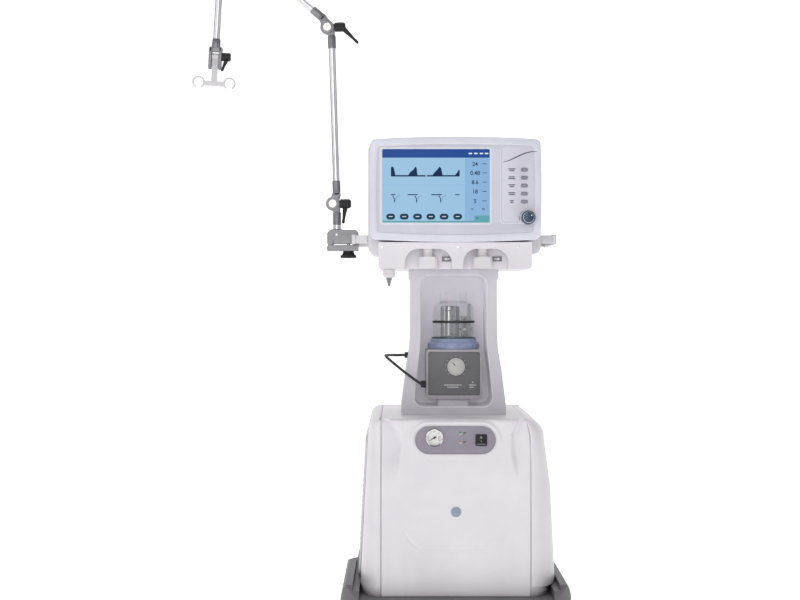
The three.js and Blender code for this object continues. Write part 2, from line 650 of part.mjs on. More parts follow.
// A port turret: a cup whose socket takes a 22 mm breathing tube from below, on a neck.
function portTurret() {
  const { cup, neck, bore, depth } = PORTS;
  const bottom = MANIFOLD.bottom + 1;
  return spin('z', [[0, bottom], [cup - 2, bottom], [cup, bottom + 3], [cup, 1039], [cup - 6, 1042],
    [neck, 1043], [neck, 1066], [0, 1066]], [0, 0], 20)
    .intersect(block([-40, 40], [-18, 16.5], [bottom - 1, 1070]))
    .subtract(rod('z', bore, [bottom - 1, bottom + depth]));
}

function waterTrap() {
  const { bottom } = MANIFOLD;
  return spin('z', [[0, 966], [1.5, 966], [8, 988], [13, 989], [15, 994], [15, bottom - GAP],
    [8, bottom - GAP], [8, bottom + 14], [0, bottom + 14]], [TRAP.x, TRAP.y], 14);
}

// The equipment rail on one side, on its two stand-off blocks. side is -1 for left and 1 for right.
function sideRail(side) {
  const { inner, outer, bottom, top, front, back } = RAIL;
  const wide = (from, to) => (side > 0 ? [from, to] : [-to, -from]);
  const foot = (from, to) => block(wide(HEAD.halfX + GAP, inner + 1), [from, to], [bottom, top]);
  return union(block(wide(inner, outer), [front, back], [bottom, top]),
    foot(front, front + 18), foot(back - 18, back));
}

function addHead() {
  add(machine, 'main_chassis', mainChassis(), WARM_WHITE);
  add(machine, 'front_bezel', frontBezel(), WHITE);
  add(machine, 'display_module', displayModule(), SCREEN_BLUE);
  add(machine, 'keypad_panel', keypadPanel(), WARM_WHITE);
  keyCentres().forEach((z, i) => {
    add(place(machine, KEY.x, BEZEL.front, z), `key_${i + 1}`, key(), KEY_GREY);
  });
  const encoder = place(machine, KNOB.x, BEZEL.front, KNOB.z);
  add(encoder, 'encoder_shaft', encoderShaft(), STEEL);
  add(encoder, 'encoder_knob', encoderKnob(), KNOB_BLUE);
  add(machine, 'manifold_block', manifoldBlock(), WARM_WHITE);
  add(place(machine, PORTS.inspiratory, PORTS.y, 0), 'inspiratory_turret', portTurret(), WARM_WHITE);
  add(place(machine, PORTS.expiratory, PORTS.y, 0), 'expiratory_turret', portTurret(), WARM_WHITE);
  add(machine, 'water_trap', waterTrap(), CLEAR_BLUE);
  add(machine, 'rail_left', sideRail(-1), SATIN_STEEL);
  add(machine, 'rail_right', sideRail(1), SATIN_STEEL);
}

// ---------------------------------------------------------------- rail clamp

const HINGE = { z: 1082, pin: 2.5, ear: 6, earHalf: 9 };
const JAW = { bottom: 1060, top: 1075.5 };
const HOOK = { x: [-254.6, -249], lip: 5.5 };

// The upper half of the clamp hooks over the rail; the arm's stub turns in its blind bore.
function railClamp() {
  const { left, y, halfWidth, top, hinge, knob, stub } = CLAMP;
  const wide = [y - halfWidth, y + halfWidth];
  const pinSpan = [y - halfWidth + 1, y + halfWidth - 1];
  return block([left, -RAIL.outer - GAP], wide, [1079, top])
    .add(block([-RAIL.outer - 1, HOOK.x[1]], wide, [RAIL.top + GAP, top]))
    .add(block(HOOK.x, wide, [RAIL.top - HOOK.lip, top]))
    .subtract(block([left - 1, hinge + 9], [y - HINGE.earHalf - GAP, y + HINGE.earHalf + GAP],
      [1070, HINGE.z + 8]))
    .add(rod('y', HINGE.pin, pinSpan, [hinge, HINGE.z], 12))
    .subtract(rod('z', 4 + RUN, [1078, 1104], [knob, y], 16))
    .subtract(rod('z', 10 + RUN, [1085, top + 1], [stub, y]));
}

// The lower jaw, drawn about its hinge pin. Its ear goes up into the clamp's slot.
function clampJaw() {
  const { left, y, halfWidth, hinge, knob } = CLAMP;
  const [low, high] = [JAW.bottom - HINGE.z, JAW.top - HINGE.z];
  const reach = HOOK.x[1] - hinge;
  const screw = knob - hinge;
  return block([left - hinge, reach], [-halfWidth, halfWidth], [low, high])
    .add(block([HOOK.x[0] - hinge, reach], [-halfWidth, halfWidth], [low, RAIL.bottom - HINGE.z + 5]))
    .add(block([-HINGE.ear, HINGE.ear], [-HINGE.earHalf, HINGE.earHalf], [high - 1, 0]))
    .add(rod('y', HINGE.ear, [-HINGE.earHalf, HINGE.earHalf], [0, 0], 20))
    .subtract(rod('y', HINGE.pin + RUN, [-HINGE.earHalf - 1, HINGE.earHalf + 1], [0, 0], 12))
    .subtract(prism('z', stadium([screw + 2, 0], 13.4, 9.4, 5), [low - 1, high + 1]));
}

function clampKnob() {
  return spin('z', [[0, 1042], [19, 1042], [21, 1044], [21, 1049], [14.5, 1056], [14, 1059.5],
    [4, 1059.5], [4, 1094], [0, 1094]], [CLAMP.knob, CLAMP.y], 16);
}

// ---------------------------------------------------------------- jointed arm

// The eye end of a tube. The eye's middle is at the origin and the tube hangs down from it, to one
// side, so that two tubes can fold flat beside each other. A lug on +X takes the locking lever's stud.
function eyeEnd() {
  const { ring, half, pin, sleeve } = KNUCKLE;
  const { offset } = ARM;
  return union(
    rod('y', ring, [-half, half], [0, 0], 20),
    block([8, ring + 0.4], [-half, half], [-9, 9]),
    block([4, 18], [-half, half], [-24, -4]),
    rod('z', sleeve, [-56, -22], [offset, 0]),
  )
    .subtract(rod('y', pin + RUN + 0.2, [-half - 1, half + 1], [0, 0], 20))
    .subtract(rod('x', 3.9, [2, ring + 2], [0, 0], 8));
}

// The fork end of a tube, whose hollow pin passes through the other tube's eye. The tube goes up.
function forkEnd() {
  const { cheek, half, outside, pin, eye, sleeve } = KNUCKLE;
  const { offset } = ARM;
  const inner = half + GAP;
  const side = (from, to) => union(
    rod('y', cheek, [from, to], [0, 0], 20),
    block([1, 17], [from, to], [0, 28]),
    block([1, 21], [from, to], [18, 28]));
  return union(
    side(inner, outside),
    side(-outside, -inner),
    rod('y', pin, [-outside + 1, outside - 1], [0, 0], 20),
    block([1, 21], [-outside, outside], [22, 30]),
    rod('z', sleeve, [28, 60], [offset, 0]),
  ).subtract(rod('y', eye, [-outside - 1, outside + 1], [0, 0], 12));
}

// A whole link: a fork at the origin, an eye at the far end and a tube between them.
function armLink(length) {
  const tube = rod('z', KNUCKLE.tube, [58, length - 54], [ARM.offset, 0]);
  return union(forkEnd(), tube, toSolid(toGeometry(eyeEnd()).translate(0, 0, length)));
}

function armStub() {
  const { pivotZ, offset } = ARM;
  return eyeEnd().add(rod('z', 10, [1085.4 - pivotZ, -50], [offset, 0]));
}

const GRIPPER = { inner: 9.3, outer: 17, halfY: 10, top: 22, tip: -34, pin: 3 };

// The last link ends in a clevis that grips the tube holder's knuckle between two cheeks. The link
// points down when the arm is set up, so the clevis is drawn along +Z at the link's far end.
function lowerLink() {
  const { inner, outer, halfY, top, tip, pin } = GRIPPER;
  const { offset, lower } = ARM;
  const tube = rod('z', KNUCKLE.tube, [58, lower - top + 2], [offset, 0]);
  const roundEnd = arc([0, -tip - halfY], [halfY, halfY], 0, 180, 8);
  const cheek = (from, to) => block([from, to], [-halfY, halfY], [-top, -tip])
    .intersect(prism('x', [[-halfY, -top], [halfY, -top], ...roundEnd], [from, to]));
  const clevis = union(
    cheek(inner, outer),
    cheek(-outer, -inner),
    block([-outer, outer], [-halfY, halfY], [-top, -top + 10]),
  ).subtract(rod('x', pin + RUN, [-outer - 1, outer + 1], [0, 0], 16));
  return union(forkEnd(), tube, toSolid(toGeometry(clevis).translate(offset, 0, lower)));
}

const HOLDER = { stem: 65, bar: 12.5, ring: 40.5, outer: 16.5, inner: 12, half: 4, slot: 60 };

// The tube holder hangs on the clevis pin: a knuckle, a flat stem, a cross-bar and two open rings
// that the breathing tubes snap into. Drawn about the pin, with the rings along +Z.
function tubeHolder() {
  const { stem, bar, ring, outer, inner, half, slot } = HOLDER;
  const middle = stem + bar / 2 - 2;
  const mouth = slot / 2;
  const cRing = (x) => prism('y', [
    ...arc([x, middle], [outer, outer], -90 + mouth, 270 - mouth, 14),
    ...arc([x, middle], [inner, inner], 270 - mouth, -90 + mouth, 14)], [-half, half]);
  const reach = ring - outer + 2;
  const body = union(
    rod('x', 8, [-8.8, 8.8], [0, 0], 20),
    block([-8.8, 8.8], [-half, half], [5, stem + 2]),
    block([-reach, reach], [-half, half], [stem, stem + bar]));
  const turned = (x) => toSolid(toGeometry(cRing(x)).rotateY(Math.PI).translate(0, 0, 2 * middle));
  return union(body, turned(-ring), turned(ring))
    .subtract(rod('x', GRIPPER.pin + RUN, [-9, 9], [0, 0], 16));
}

const LEVER = { hub: 12.5, hubFrom: 18.8, hubTo: 48, chamfer: 5, stud: 3.5, studFrom: 9.5 };
const LEVER_GRIP = [6.5, 3.6];

// A locking lever: a threaded stud, a round hub and a handle that tapers from start to end, given as
// [x, z]. The stud's axis is X.
function lockingLever([start, end]) {
  const { hub, hubFrom, hubTo, chamfer, stud, studFrom } = LEVER;
  const [thick, thin] = LEVER_GRIP;
  const from = new THREE.Vector3(start[0], 0, start[1]);
  const to = new THREE.Vector3(end[0], 0, end[1]);
  const bar = new THREE.CylinderGeometry(thin, thick, from.distanceTo(to), 10);
  const turn = new THREE.Quaternion().setFromUnitVectors(
    new THREE.Vector3(0, 1, 0), to.clone().sub(from).normalize());
  bar.applyQuaternion(turn).translate(...from.clone().add(to).multiplyScalar(0.5).toArray());
  return union(
    rod('x', hub, [hubFrom, hubTo - chamfer]),
    cone('x', [hub, hub - chamfer + 1], [hubTo - chamfer, hubTo]),
    rod('x', stud, [studFrom, hubFrom + 2], [0, 0], 8),
    toSolid(bar));
}

const INWARD_HANDLE = [[33, -6], [27, -52]];
const OUTWARD_HANDLE = [[42, -4], [80, -44]];

function addArm() {
  const { stub, y } = CLAMP;
  const { offset, pivotZ, post, upper, lower } = ARM;
  add(machine, 'rail_clamp', railClamp(), CAST_ALLOY);
  add(place(machine, CLAMP.hinge, y, HINGE.z), 'clamp_jaw', clampJaw(), CAST_ALLOY);
  add(machine, 'clamp_knob', clampKnob(), DARK);

  const shoulder = place(machine, stub - offset, y, pivotZ);
  add(shoulder, 'arm_stub', armStub(), SATIN_STEEL);
  add(shoulder, 'lever_lower', lockingLever(INWARD_HANDLE), DARK);

  const postGroup = place(shoulder);
  postGroup.rotation.y = radians(ARM_ANGLE.post);
  add(postGroup, 'arm_post', armLink(post), SATIN_STEEL);
  const postTop = place(postGroup, 0, 0, post);
  add(postTop, 'lever_upper', lockingLever(OUTWARD_HANDLE), DARK);

  const upperGroup = place(postTop);
  upperGroup.rotation.y = radians(ARM_ANGLE.upper - ARM_ANGLE.post);
  add(upperGroup, 'arm_upper_link', armLink(upper), SATIN_STEEL);
  const apex = place(upperGroup, 0, 0, upper);
  add(apex, 'lever_apex', lockingLever(OUTWARD_HANDLE), DARK);

  const lowerGroup = place(apex);
  lowerGroup.rotation.y = radians(ARM_ANGLE.lower - ARM_ANGLE.upper);
  add(lowerGroup, 'arm_lower_link', lowerLink(), SATIN_STEEL);
  const grip = place(lowerGroup, offset, 0, lower);
  add(grip, 'tube_holder', tubeHolder(), WARM_WHITE);
  add(grip, 'lever_gripper', gripperLever(), DARK);
}

// The gripper's lever clamps the clevis: its stud is the pin through both cheeks. The hub is on the
// side that faces +X when the link points down, and the handle slopes down towards the front.
function gripperLever() {
  const { outer, pin } = GRIPPER;
  const handle = new THREE.CylinderGeometry(3.4, 6, 44, 12);
  handle.translate(0, 22, 0).rotateX(radians(90)).rotateY(radians(12)).translate(-31, 0, 4);
  handle.rotateX(radians(30));
  return union(
    rod('x', 11, [-40, -outer - GAP], [0, 0], 20),
    rod('x', pin, [-outer - 2, outer - 0.5], [0, 0], 16),
    toSolid(handle));
}

// ---------------------------------------------------------------- assembly

add(machine, 'base_tray', baseTray(), BASE_GREY);
addCasters();
addCabinet();
addColumn();
addHead();
addArm();

export default machine;
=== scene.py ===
import math

import bmesh
import bpy
from mathutils import Matrix, Vector


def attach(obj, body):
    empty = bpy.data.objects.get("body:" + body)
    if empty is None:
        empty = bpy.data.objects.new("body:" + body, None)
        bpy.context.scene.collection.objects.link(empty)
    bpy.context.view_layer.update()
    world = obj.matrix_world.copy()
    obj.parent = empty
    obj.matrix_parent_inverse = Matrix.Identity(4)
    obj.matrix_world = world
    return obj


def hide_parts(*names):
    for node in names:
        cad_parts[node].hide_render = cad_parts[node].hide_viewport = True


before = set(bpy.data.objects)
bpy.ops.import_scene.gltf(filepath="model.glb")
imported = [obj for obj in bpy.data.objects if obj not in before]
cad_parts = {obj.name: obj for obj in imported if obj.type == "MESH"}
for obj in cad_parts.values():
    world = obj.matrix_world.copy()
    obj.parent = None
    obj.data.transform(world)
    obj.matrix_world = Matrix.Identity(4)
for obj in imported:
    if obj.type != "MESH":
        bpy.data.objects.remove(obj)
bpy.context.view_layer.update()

# A mechanical ventilator: a control unit with a screen, on a column with a humidifier, on a wheeled
# cabinet, with a jointed arm for the breathing tubes. Shapes are drawn in millimetres about the
# machine's own middle plane, with the front towards -Y, and finished pieces are in metres.

# ------------------------------------------------------------------------------------------ camera
# A level camera at chest height, a little to the right of the machine's middle.

eye = bpy.data.objects.new("camera", bpy.data.cameras.new("camera"))
eye.location = (0.056, -3.737, 0.932)
eye.rotation_euler = (math.radians(90), 0, 0)
eye.data.lens = 63
eye.data.sensor_width = 36
bpy.context.collection.objects.link(eye)
bpy.context.scene.camera = eye

# ------------------------------------------------------------------------------------ sensor lead
# A thin lead in a PVC sheath joins the humidifier to the boss on the column's side. It leaves a
# moulded strain relief, bends round the column's front edge and lies back along its side.

MILLIMETRE = 0.001
SHIFT = Vector((196, 13, 0))
TO_ROW = Matrix.Scale(MILLIMETRE, 4) @ Matrix.Translation(SHIFT)


def linear(code):
    """An sRGB hex colour as linear red, green, blue and alpha."""
    parts = [int(code[i : i + 2], 16) / 255 for i in (1, 3, 5)]
    return [p / 12.92 if p <= 0.04045 else ((p + 0.055) / 1.055) ** 2.4 for p in parts] + [1.0]


def add_node(material, kind, inputs, **settings):
    """Adds a node with its settings, and sets each input or links it to another node's output."""
    node = material.node_tree.nodes.new(kind)
    for name, value in settings.items():
        setattr(node, name, value)
    for name, value in inputs.items():
        if isinstance(value, bpy.types.NodeSocket):
            material.node_tree.links.new(value, node.inputs[name])
        else:
            node.inputs[name].default_value = value
    return node


def start_finish(name, settings):
    """A new material with its shader's own sockets set; gives the material and the shader."""
    material = bpy.data.materials.new(name)
    material.use_nodes = True
    shader = material.node_tree.nodes["Principled BSDF"]
    for socket, value in settings.items():
        shader.inputs[socket].default_value = value
    return material, shader


def mottle(material, shader, light, dark, cloud_mm, gloss):
    """Lets the colour and the roughness drift a little over patches of a size in millimetres."""
    where = add_node(material, "ShaderNodeTexCoord", {})
    cloud = add_node(material, "ShaderNodeTexNoise", {
        "Vector": where.outputs["Object"], "Scale": 1000 / cloud_mm, "Detail": 4.0, "Roughness": 0.6})
    ramp = add_node(material, "ShaderNodeValToRGB", {"Fac": cloud.outputs["Fac"]})
    ramp.color_ramp.elements[0].position = 0.3
    ramp.color_ramp.elements[0].color = linear(dark)
    ramp.color_ramp.elements[1].position = 0.7
    ramp.color_ramp.elements[1].color = linear(light)
    spread = add_node(material, "ShaderNodeMapRange", {
        "Value": cloud.outputs["Fac"], "To Min": gloss[0], "To Max": gloss[1]})
    material.node_tree.links.new(ramp.outputs["Color"], shader.inputs["Base Color"])
    material.node_tree.links.new(spread.outputs["Result"], shader.inputs["Roughness"])
    return where


def grain(material, shader, where, size_mm, height_mm, stretch=(1, 1, 1)):
    """A fine relief: bumps of a size and a height in millimetres, drawn out along an axis if wanted."""
    drawn = add_node(material, "ShaderNodeMapping", {
        "Vector": where.outputs["Object"], "Scale": stretch})
    bumps = add_node(material, "ShaderNodeTexNoise", {
        "Vector": drawn.outputs["Vector"], "Scale": 1000 / size_mm, "Detail": 2.0})
    relief = add_node(material, "ShaderNodeBump", {
        "Height": bumps.outputs["Fac"], "Strength": 0.6, "Distance": height_mm * MILLIMETRE})
    material.node_tree.links.new(relief.outputs["Normal"], shader.inputs["Normal"])


def moulded(name, light, dark, gloss, grain_mm, height_mm, settings=None):
    """Moulded plastic: slightly uneven colour and gloss over the grain that the mould leaves."""
    material, shader = start_finish(name, {"IOR": 1.5, **(settings or {})})
    where = mottle(material, shader, light, dark, 140, gloss)
    grain(material, shader, where, grain_mm, height_mm)
    return material


# Black PVC: soft and dull, with a faint sheen where it has been handled.
black_pvc = moulded("black_pvc_sheath", "#2c292b", "#1f1c1e", (0.42, 0.6), 0.8, 0.03)

LEAD_ROUTE = [
    (-79, -100.4, 711), (-79, -109, 711), (-80, -118, 712), (-84, -126, 714.5), (-92, -131.5, 719.5),
    (-103, -134, 727), (-115, -134, 736), (-128, -132, 745.5), (-140, -128.5, 755),
    (-152, -123, 764.5), (-162, -115, 772.5), (-169.5, -104.5, 778.5), (-174.5, -92, 782.5),
    (-177, -78, 785), (-178, -63, 786), (-177.5, -47, 786), (-175.5, -31, 785.5), (-172, -15, 785),
    (-167, 0.5, 784.5), (-161, 14, 784), (-154, 26, 783.5), (-146.5, 35.5, 783), (-139, 42, 783),
    (-133.5, 44.7, 783), (-128.4, 45, 783)]
LEAD_DIAMETER = 7

route = bpy.data.curves.new("humidifier_lead", "CURVE")
route.dimensions = "3D"
route.bevel_depth = LEAD_DIAMETER / 2 * MILLIMETRE
route.bevel_resolution = 5
route.resolution_u = 8
run = route.splines.new("BEZIER")
run.bezier_points.add(len(LEAD_ROUTE) - 1)
for knot, place in zip(run.bezier_points, LEAD_ROUTE):
    knot.co = TO_ROW @ Vector(place)
    knot.handle_left_type = knot.handle_right_type = "AUTO"
route.materials.append(black_pvc)
lead = bpy.data.objects.new("sensor_lead", route)
bpy.context.collection.objects.link(lead)
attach(lead, "machine")
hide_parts("humidifier_lead")


def loose(corners, faces):
    """A closed shape in millimetres, to be joined, cut or finished as part of a piece."""
    mesh = bpy.data.meshes.new("shape")
    mesh.from_pydata(corners, [], faces)
    return tidied(mesh)


def tidied(mesh):
    """Welds a shape's corners and turns its faces outwards."""
    skin = bmesh.new()
    skin.from_mesh(mesh)
    bmesh.ops.remove_doubles(skin, verts=skin.verts, dist=1e-3)
    bmesh.ops.dissolve_degenerate(skin, edges=skin.edges, dist=1e-4)
    bmesh.ops.recalc_face_normals(skin, faces=skin.faces)
    skin.to_mesh(mesh)
    skin.free()
    shape = bpy.data.objects.new("shape", mesh)
    bpy.context.collection.objects.link(shape)
    return shape


# An outline lies across the axis: (y, z) for x, (x, z) for y and (x, y) for z.
ALONG = {
    "x": lambda a, b, c: (c, a, b),
    "y": lambda a, b, c: (a, c, b),
    "z": lambda a, b, c: (a, b, c)}


def arc(centre, radii, start, end, steps=12):
    """Points on an ellipse's arc, between two angles in degrees."""
    angles = [math.radians(start + (end - start) * i / steps) for i in range(steps + 1)]
    return [(centre[0] + radii[0] * math.cos(t), centre[1] + radii[1] * math.sin(t)) for t in angles]


def rounded(across, up, r, steps=8):
    """A rectangle with round corners."""
    (a0, a1), (b0, b1) = across, up
    return [
        *arc((a1 - r, b0 + r), (r, r), -90, 0, steps), *arc((a1 - r, b1 - r), (r, r), 0, 90, steps),
        *arc((a0 + r, b1 - r), (r, r), 90, 180, steps), *arc((a0 + r, b0 + r), (r, r), 180, 270, steps)]


def plate(axis, loops, span, edge=1.0):
    """Pushes an outline, with any holes in it, along an axis, and rounds its two rims."""
    sheet = bpy.data.curves.new("shape", "CURVE")
    sheet.dimensions = "2D"
    sheet.fill_mode = "BOTH"
    for loop in loops:
        line = sheet.splines.new("POLY")
        line.points.add(len(loop) - 1)
        line.use_cyclic_u = True
        for point, (a, b) in zip(line.points, loop):
            point.co = (a, b, 0, 1)
    sheet.extrude = (span[1] - span[0]) / 2 - edge
    sheet.bevel_depth = edge
    sheet.bevel_resolution = 2
    sheet.offset = -edge
    pushed = bpy.data.objects.new("shape", sheet)
    bpy.context.collection.objects.link(pushed)
    graph = bpy.context.evaluated_depsgraph_get()
    mesh = bpy.data.meshes.new_from_object(pushed.evaluated_get(graph), depsgraph=graph)
    bpy.data.objects.remove(pushed)
    middle = (span[0] + span[1]) / 2
    for corner in mesh.vertices:
        corner.co = ALONG[axis](corner.co.x, corner.co.y, corner.co.z + middle)
    return tidied(mesh)


def turned(axis, profile, centre=(0, 0), sides=48):
    """Turns a profile of (radius, height) about an axis. One that ends off the axis closes on itself."""
    count = len(profile)
    hollow = profile[0][0] > 0 and profile[-1][0] > 0
    corners = []
    for step in range(sides):
        t = 2 * math.pi * step / sides
        corners += [ALONG[axis](centre[0] + r * math.cos(t), centre[1] + r * math.sin(t), h)
                    for r, h in profile]
    faces = []
    for step in range(sides):
        here, after = step * count, (step + 1) % sides * count
        for i in range(count if hollow else count - 1):
            j = (i + 1) % count
            faces.append((here + i, here + j, after + j, after + i))
    return loose(corners, faces)


def bar(axis, radius, span, centre=(0, 0), edge=0.8, sides=32):
    """A round bar with a broken edge at both ends."""
    low, high = span
    return turned(axis, [(0, low), (radius - edge, low), (radius, low + edge), (radius, high - edge),
                         (radius - edge, high), (0, high)], centre, sides)


def brick(across, deep, up, edge=1.0, corner=None):
    """A block whose upright edges are rounded by corner and whose other edges by edge."""
    r = corner or edge
    return plate("z", [rounded(across, deep, r, 4)], up, edge)


def combine(how, shape, *others):
    """Cuts shapes from the first one, or keeps only what it shares with them."""
    for other in others:
        change = shape.modifiers.new("change", "BOOLEAN")
        change.operation = how
        change.solver = "EXACT"
        change.object = other
    graph = bpy.context.evaluated_depsgraph_get()
    shape.data = bpy.data.meshes.new_from_object(shape.evaluated_get(graph), depsgraph=graph)
    shape.modifiers.clear()
    for other in others:
        bpy.data.objects.remove(other)
    return shape


def prism(axis, outline, span):
    """Pushes an outline along an axis and leaves its rims sharp, for a shape that is cut afterwards."""
    count = len(outline)
    corners = [ALONG[axis](a, b, c) for c in span for a, b in outline]
    faces = [list(range(count)), list(range(count, 2 * count))]
    faces += [(i, (i + 1) % count, count + (i + 1) % count, count + i) for i in range(count)]
    return loose(corners, faces)


def piece(name, parts, body, nodes=(), place=None, edge=0.0, crease=34):
    """Joins (shape, material) pairs as one piece, in metres, that rides on a body.

    It stands for the CAD nodes named. place sets a piece drawn about its own axis in the machine,
    and edge rounds whatever sharp edges are left, in millimetres."""
    whole = bmesh.new()
    mesh = bpy.data.meshes.new(name)
    for index, (shape, material) in enumerate(parts):
        mesh.materials.append(material)
        before = len(whole.faces)
        whole.from_mesh(shape.data)
        whole.faces.ensure_lookup_table()
        for face in whole.faces[before:]:
            face.material_index = index
            face.smooth = True
        bpy.data.objects.remove(shape)
    whole.transform(TO_ROW @ (place or Matrix()))
    whole.to_mesh(mesh)
    whole.free()
    mesh.set_sharp_from_angle(angle=math.radians(crease))
    made = bpy.data.objects.new(name, mesh)
    bpy.context.collection.objects.link(made)
    if edge:
        soften = made.modifiers.new("soften", "BEVEL")
        soften.width = edge * MILLIMETRE
        soften.segments = 2
        soften.limit_method = "ANGLE"
        soften.angle_limit = math.radians(crease)
        soften.use_clamp_overlap = True
        soften.harden_normals = True
    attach(made, body)
    if nodes:
        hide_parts(*nodes)
    return made


GLAND_TIP = -100.2
relief = [(0, GLAND_TIP), (4.4, GLAND_TIP), (4.8, -99)]
for ring in range(6):  # grooves moulded round the strain relief let it bend
    y = -97 + ring * 3.6
    relief += [(4.9 + ring * 0.2, y), (4.3 + ring * 0.2, y + 0.4), (4.3 + ring * 0.2, y + 1.2),
               (5.0 + ring * 0.2, y + 1.6)]
relief += [(6.4, -76), (8, -74.5), (0, -74)]
piece("lead_strain_relief", [
    (turned("y", relief, (-79, 711)), black_pvc),
    (brick((-85, -72.4), (-74, -58), (702, 720), 1.2), black_pvc),
], "machine", ["lead_gland"])

# ------------------------------------------------------------------------------------ base moulding
# The base is a rotationally moulded tray of dark grey polyethylene with round shoulders. It stands
# up as a wing on each side of the cabinet, and its skirt hides the casters' top plates.

# Rotomoulded polyethylene: waxy and matt, with a sand-like skin left by the mould.
grey_polyethylene = moulded("grey_rotomoulded_polyethylene", "#716f72", "#625f63", (0.44, 0.6), 2.2, 0.12)

BASE_HALF = (290, 310)
SHOULDER = 110
SHOULDER_Z = 148
WING_Z = 172  # the wings' curve is centred higher than the ends' curve
WING_TOP = 212.4
DECK = 190


def mirrored(half):
    """An outline's right half, followed by its mirror image on the left."""
    return half + [(-a, b) for a, b in reversed(half)]


wing = arc((BASE_HALF[0] - SHOULDER, WING_Z), (SHOULDER, SHOULDER), 0, 45, 12)
inside_wing = wing[-1][0] - 16
front_view = mirrored([(BASE_HALF[0], 112), *wing, (wing[-1][0], WING_TOP), (inside_wing, WING_TOP),
                       (inside_wing, DECK)])
side_view = mirrored([(BASE_HALF[1], 112), *arc((BASE_HALF[1] - SHOULDER, SHOULDER_Z),
                                                (SHOULDER, SHOULDER), 0, 45, 12)])
tray = combine(
    "INTERSECT", prism("y", front_view, (-310, 310)), prism("x", side_view, (-290, 290)),
    prism("z", rounded((-290, 290), (-310, 310), 80, 16), (112, 300)))
wing_slope = [(-60, 250), (250, DECK), (311, DECK), (311, 260), (-60, 260)]
tray = combine(
    "DIFFERENCE", tray, prism("z", rounded((-278, 278), (-298, 298), 68, 16), (100, 128)),
    prism("x", wing_slope, (wing[-1][0], 291)), prism("x", wing_slope, (-291, -wing[-1][0])))
piece("base_moulding", [(tray, grey_polyethylene)], "machine", ["base_tray"], edge=2.0)

# ------------------------------------------------------------------------------------------ casters
# Four swivel casters: a pressed and zinc-plated steel fork, a grey thermoplastic rubber tyre on a
# nylon wheel, and on the front pair a foot pedal that jams the wheel.

# Zinc-plated pressed steel: bright, but greyed and slightly cloudy from the plating bath.
zinc_plate, shader = start_finish("zinc_plated_pressed_steel", {"Metallic": 1.0})
grain(zinc_plate, shader, mottle(zinc_plate, shader, "#c2c3c6", "#9fa1a6", 30, (0.24, 0.42)), 1.5, 0.01)
# Thermoplastic rubber: matt, a little dusty on the tread.
tyre_rubber = moulded("grey_thermoplastic_tyre", "#3b3c40", "#2a2b2e", (0.6, 0.8), 1.2, 0.06)
# Nylon: slightly translucent mid grey with a satin skin.
grey_nylon = moulded("grey_nylon_wheel", "#a4a4a9", "#96969b", (0.35, 0.5), 1.0, 0.03)

WHEEL_RADIUS = 50
AXLE = (28, WHEEL_RADIUS * math.cos(math.pi / 20))  # trail and height, from the fork's swivel
SWIVEL = (222, 232)
PEDAL_PIN = (56, 104)
FORK_LEG = [(-22, 111.5), (-22, 104), (15, 53), *arc((28, 42), (12, 12), 200, 340, 10), (41, 53),
            (46, 90), (62, 98), (62, 111.5)]


def caster_fork(with_pedal):
    parts = [
        (plate("x", [FORK_LEG], (15.5, 19.5), 1.0), zinc_plate),
        (plate("x", [FORK_LEG], (-19.5, -15.5), 1.0), zinc_plate),
        (turned("z", [(0, 104), (24, 104), (28, 107), (28, 112), (26, 114), (26, 118), (22, 120),
                      (22, 127.6), (0, 127.6)]), zinc_plate),
        (bar("z", 8, (126, 148)), zinc_plate),
        (bar("x", 5, (-17, 17), AXLE), zinc_plate),
        (plate("x", [arc(AXLE, (7.5, 7.5), 0, 300, 5)], (19.5, 23), 0.6), zinc_plate),
        (plate("x", [arc(AXLE, (7.5, 7.5), 0, 300, 5)], (-23, -19.5), 0.6), zinc_plate)]
    if with_pedal:
        parts.append((bar("x", 2.5, (-17, 17), PEDAL_PIN, 0.4, 16), zinc_plate))
    return parts


def caster_wheel():
    tyre = turned("x", [(41, -12), (45, -12), (48, -10.4), (49.3, -7), (49.3, -2), (48.8, -1.2),
                        (48.8, 1.2), (49.3, 2), (49.3, 7), (48, 10.4), (45, 12), (41, 12)], AXLE, 72)
    rim = turned("x", [(5.4, -11.5), (11, -11.5), (13, -8), (34, -6.5), (36, -11), (41.5, -11),
                       (41.5, 11), (36, 11), (34, 6.5), (13, 8), (11, 11.5), (5.4, 11.5)], AXLE, 60)
    parts = [(tyre, tyre_rubber), (rim, grey_nylon)]
    for spoke in range(6):  # stiffening ribs on both faces of the wheel's web
        t = math.radians(60 * spoke)
        rib = brick((-10.5, 10.5), (-1.2, 1.2), (12, 35), 0.5)
        rib.data.transform(Matrix.Translation((0, *AXLE)) @ Matrix.Rotation(t, 4, "X"))
        parts.append((rib, grey_nylon))
    return parts


def brake_pedal():
    tread = [(66, 96), (98, 88), (103, 88.5), (104, 92), (100, 95.5), (70, 102)]
    neck = [(52, 100), (56, 98), (72, 94), (76, 96), (72, 101), (56, 109), (52, 108)]
    parts = [(plate("x", [neck], (-14, 14), 1.0), grey_polyethylene),
             (plate("x", [tread], (-20, 20), 1.6), grey_polyethylene)]
    for rib in range(4):  # grip ribs on the tread
        y = 76 + rib * 6
        z = 101.4 - rib * 1.5
        parts.append((plate("x", [[(y, z - 2), (y + 2, z - 2.4), (y + 2, z), (y, z + 0.4)]],
                            (-16, 16), 0.4), grey_polyethylene))
    return parts


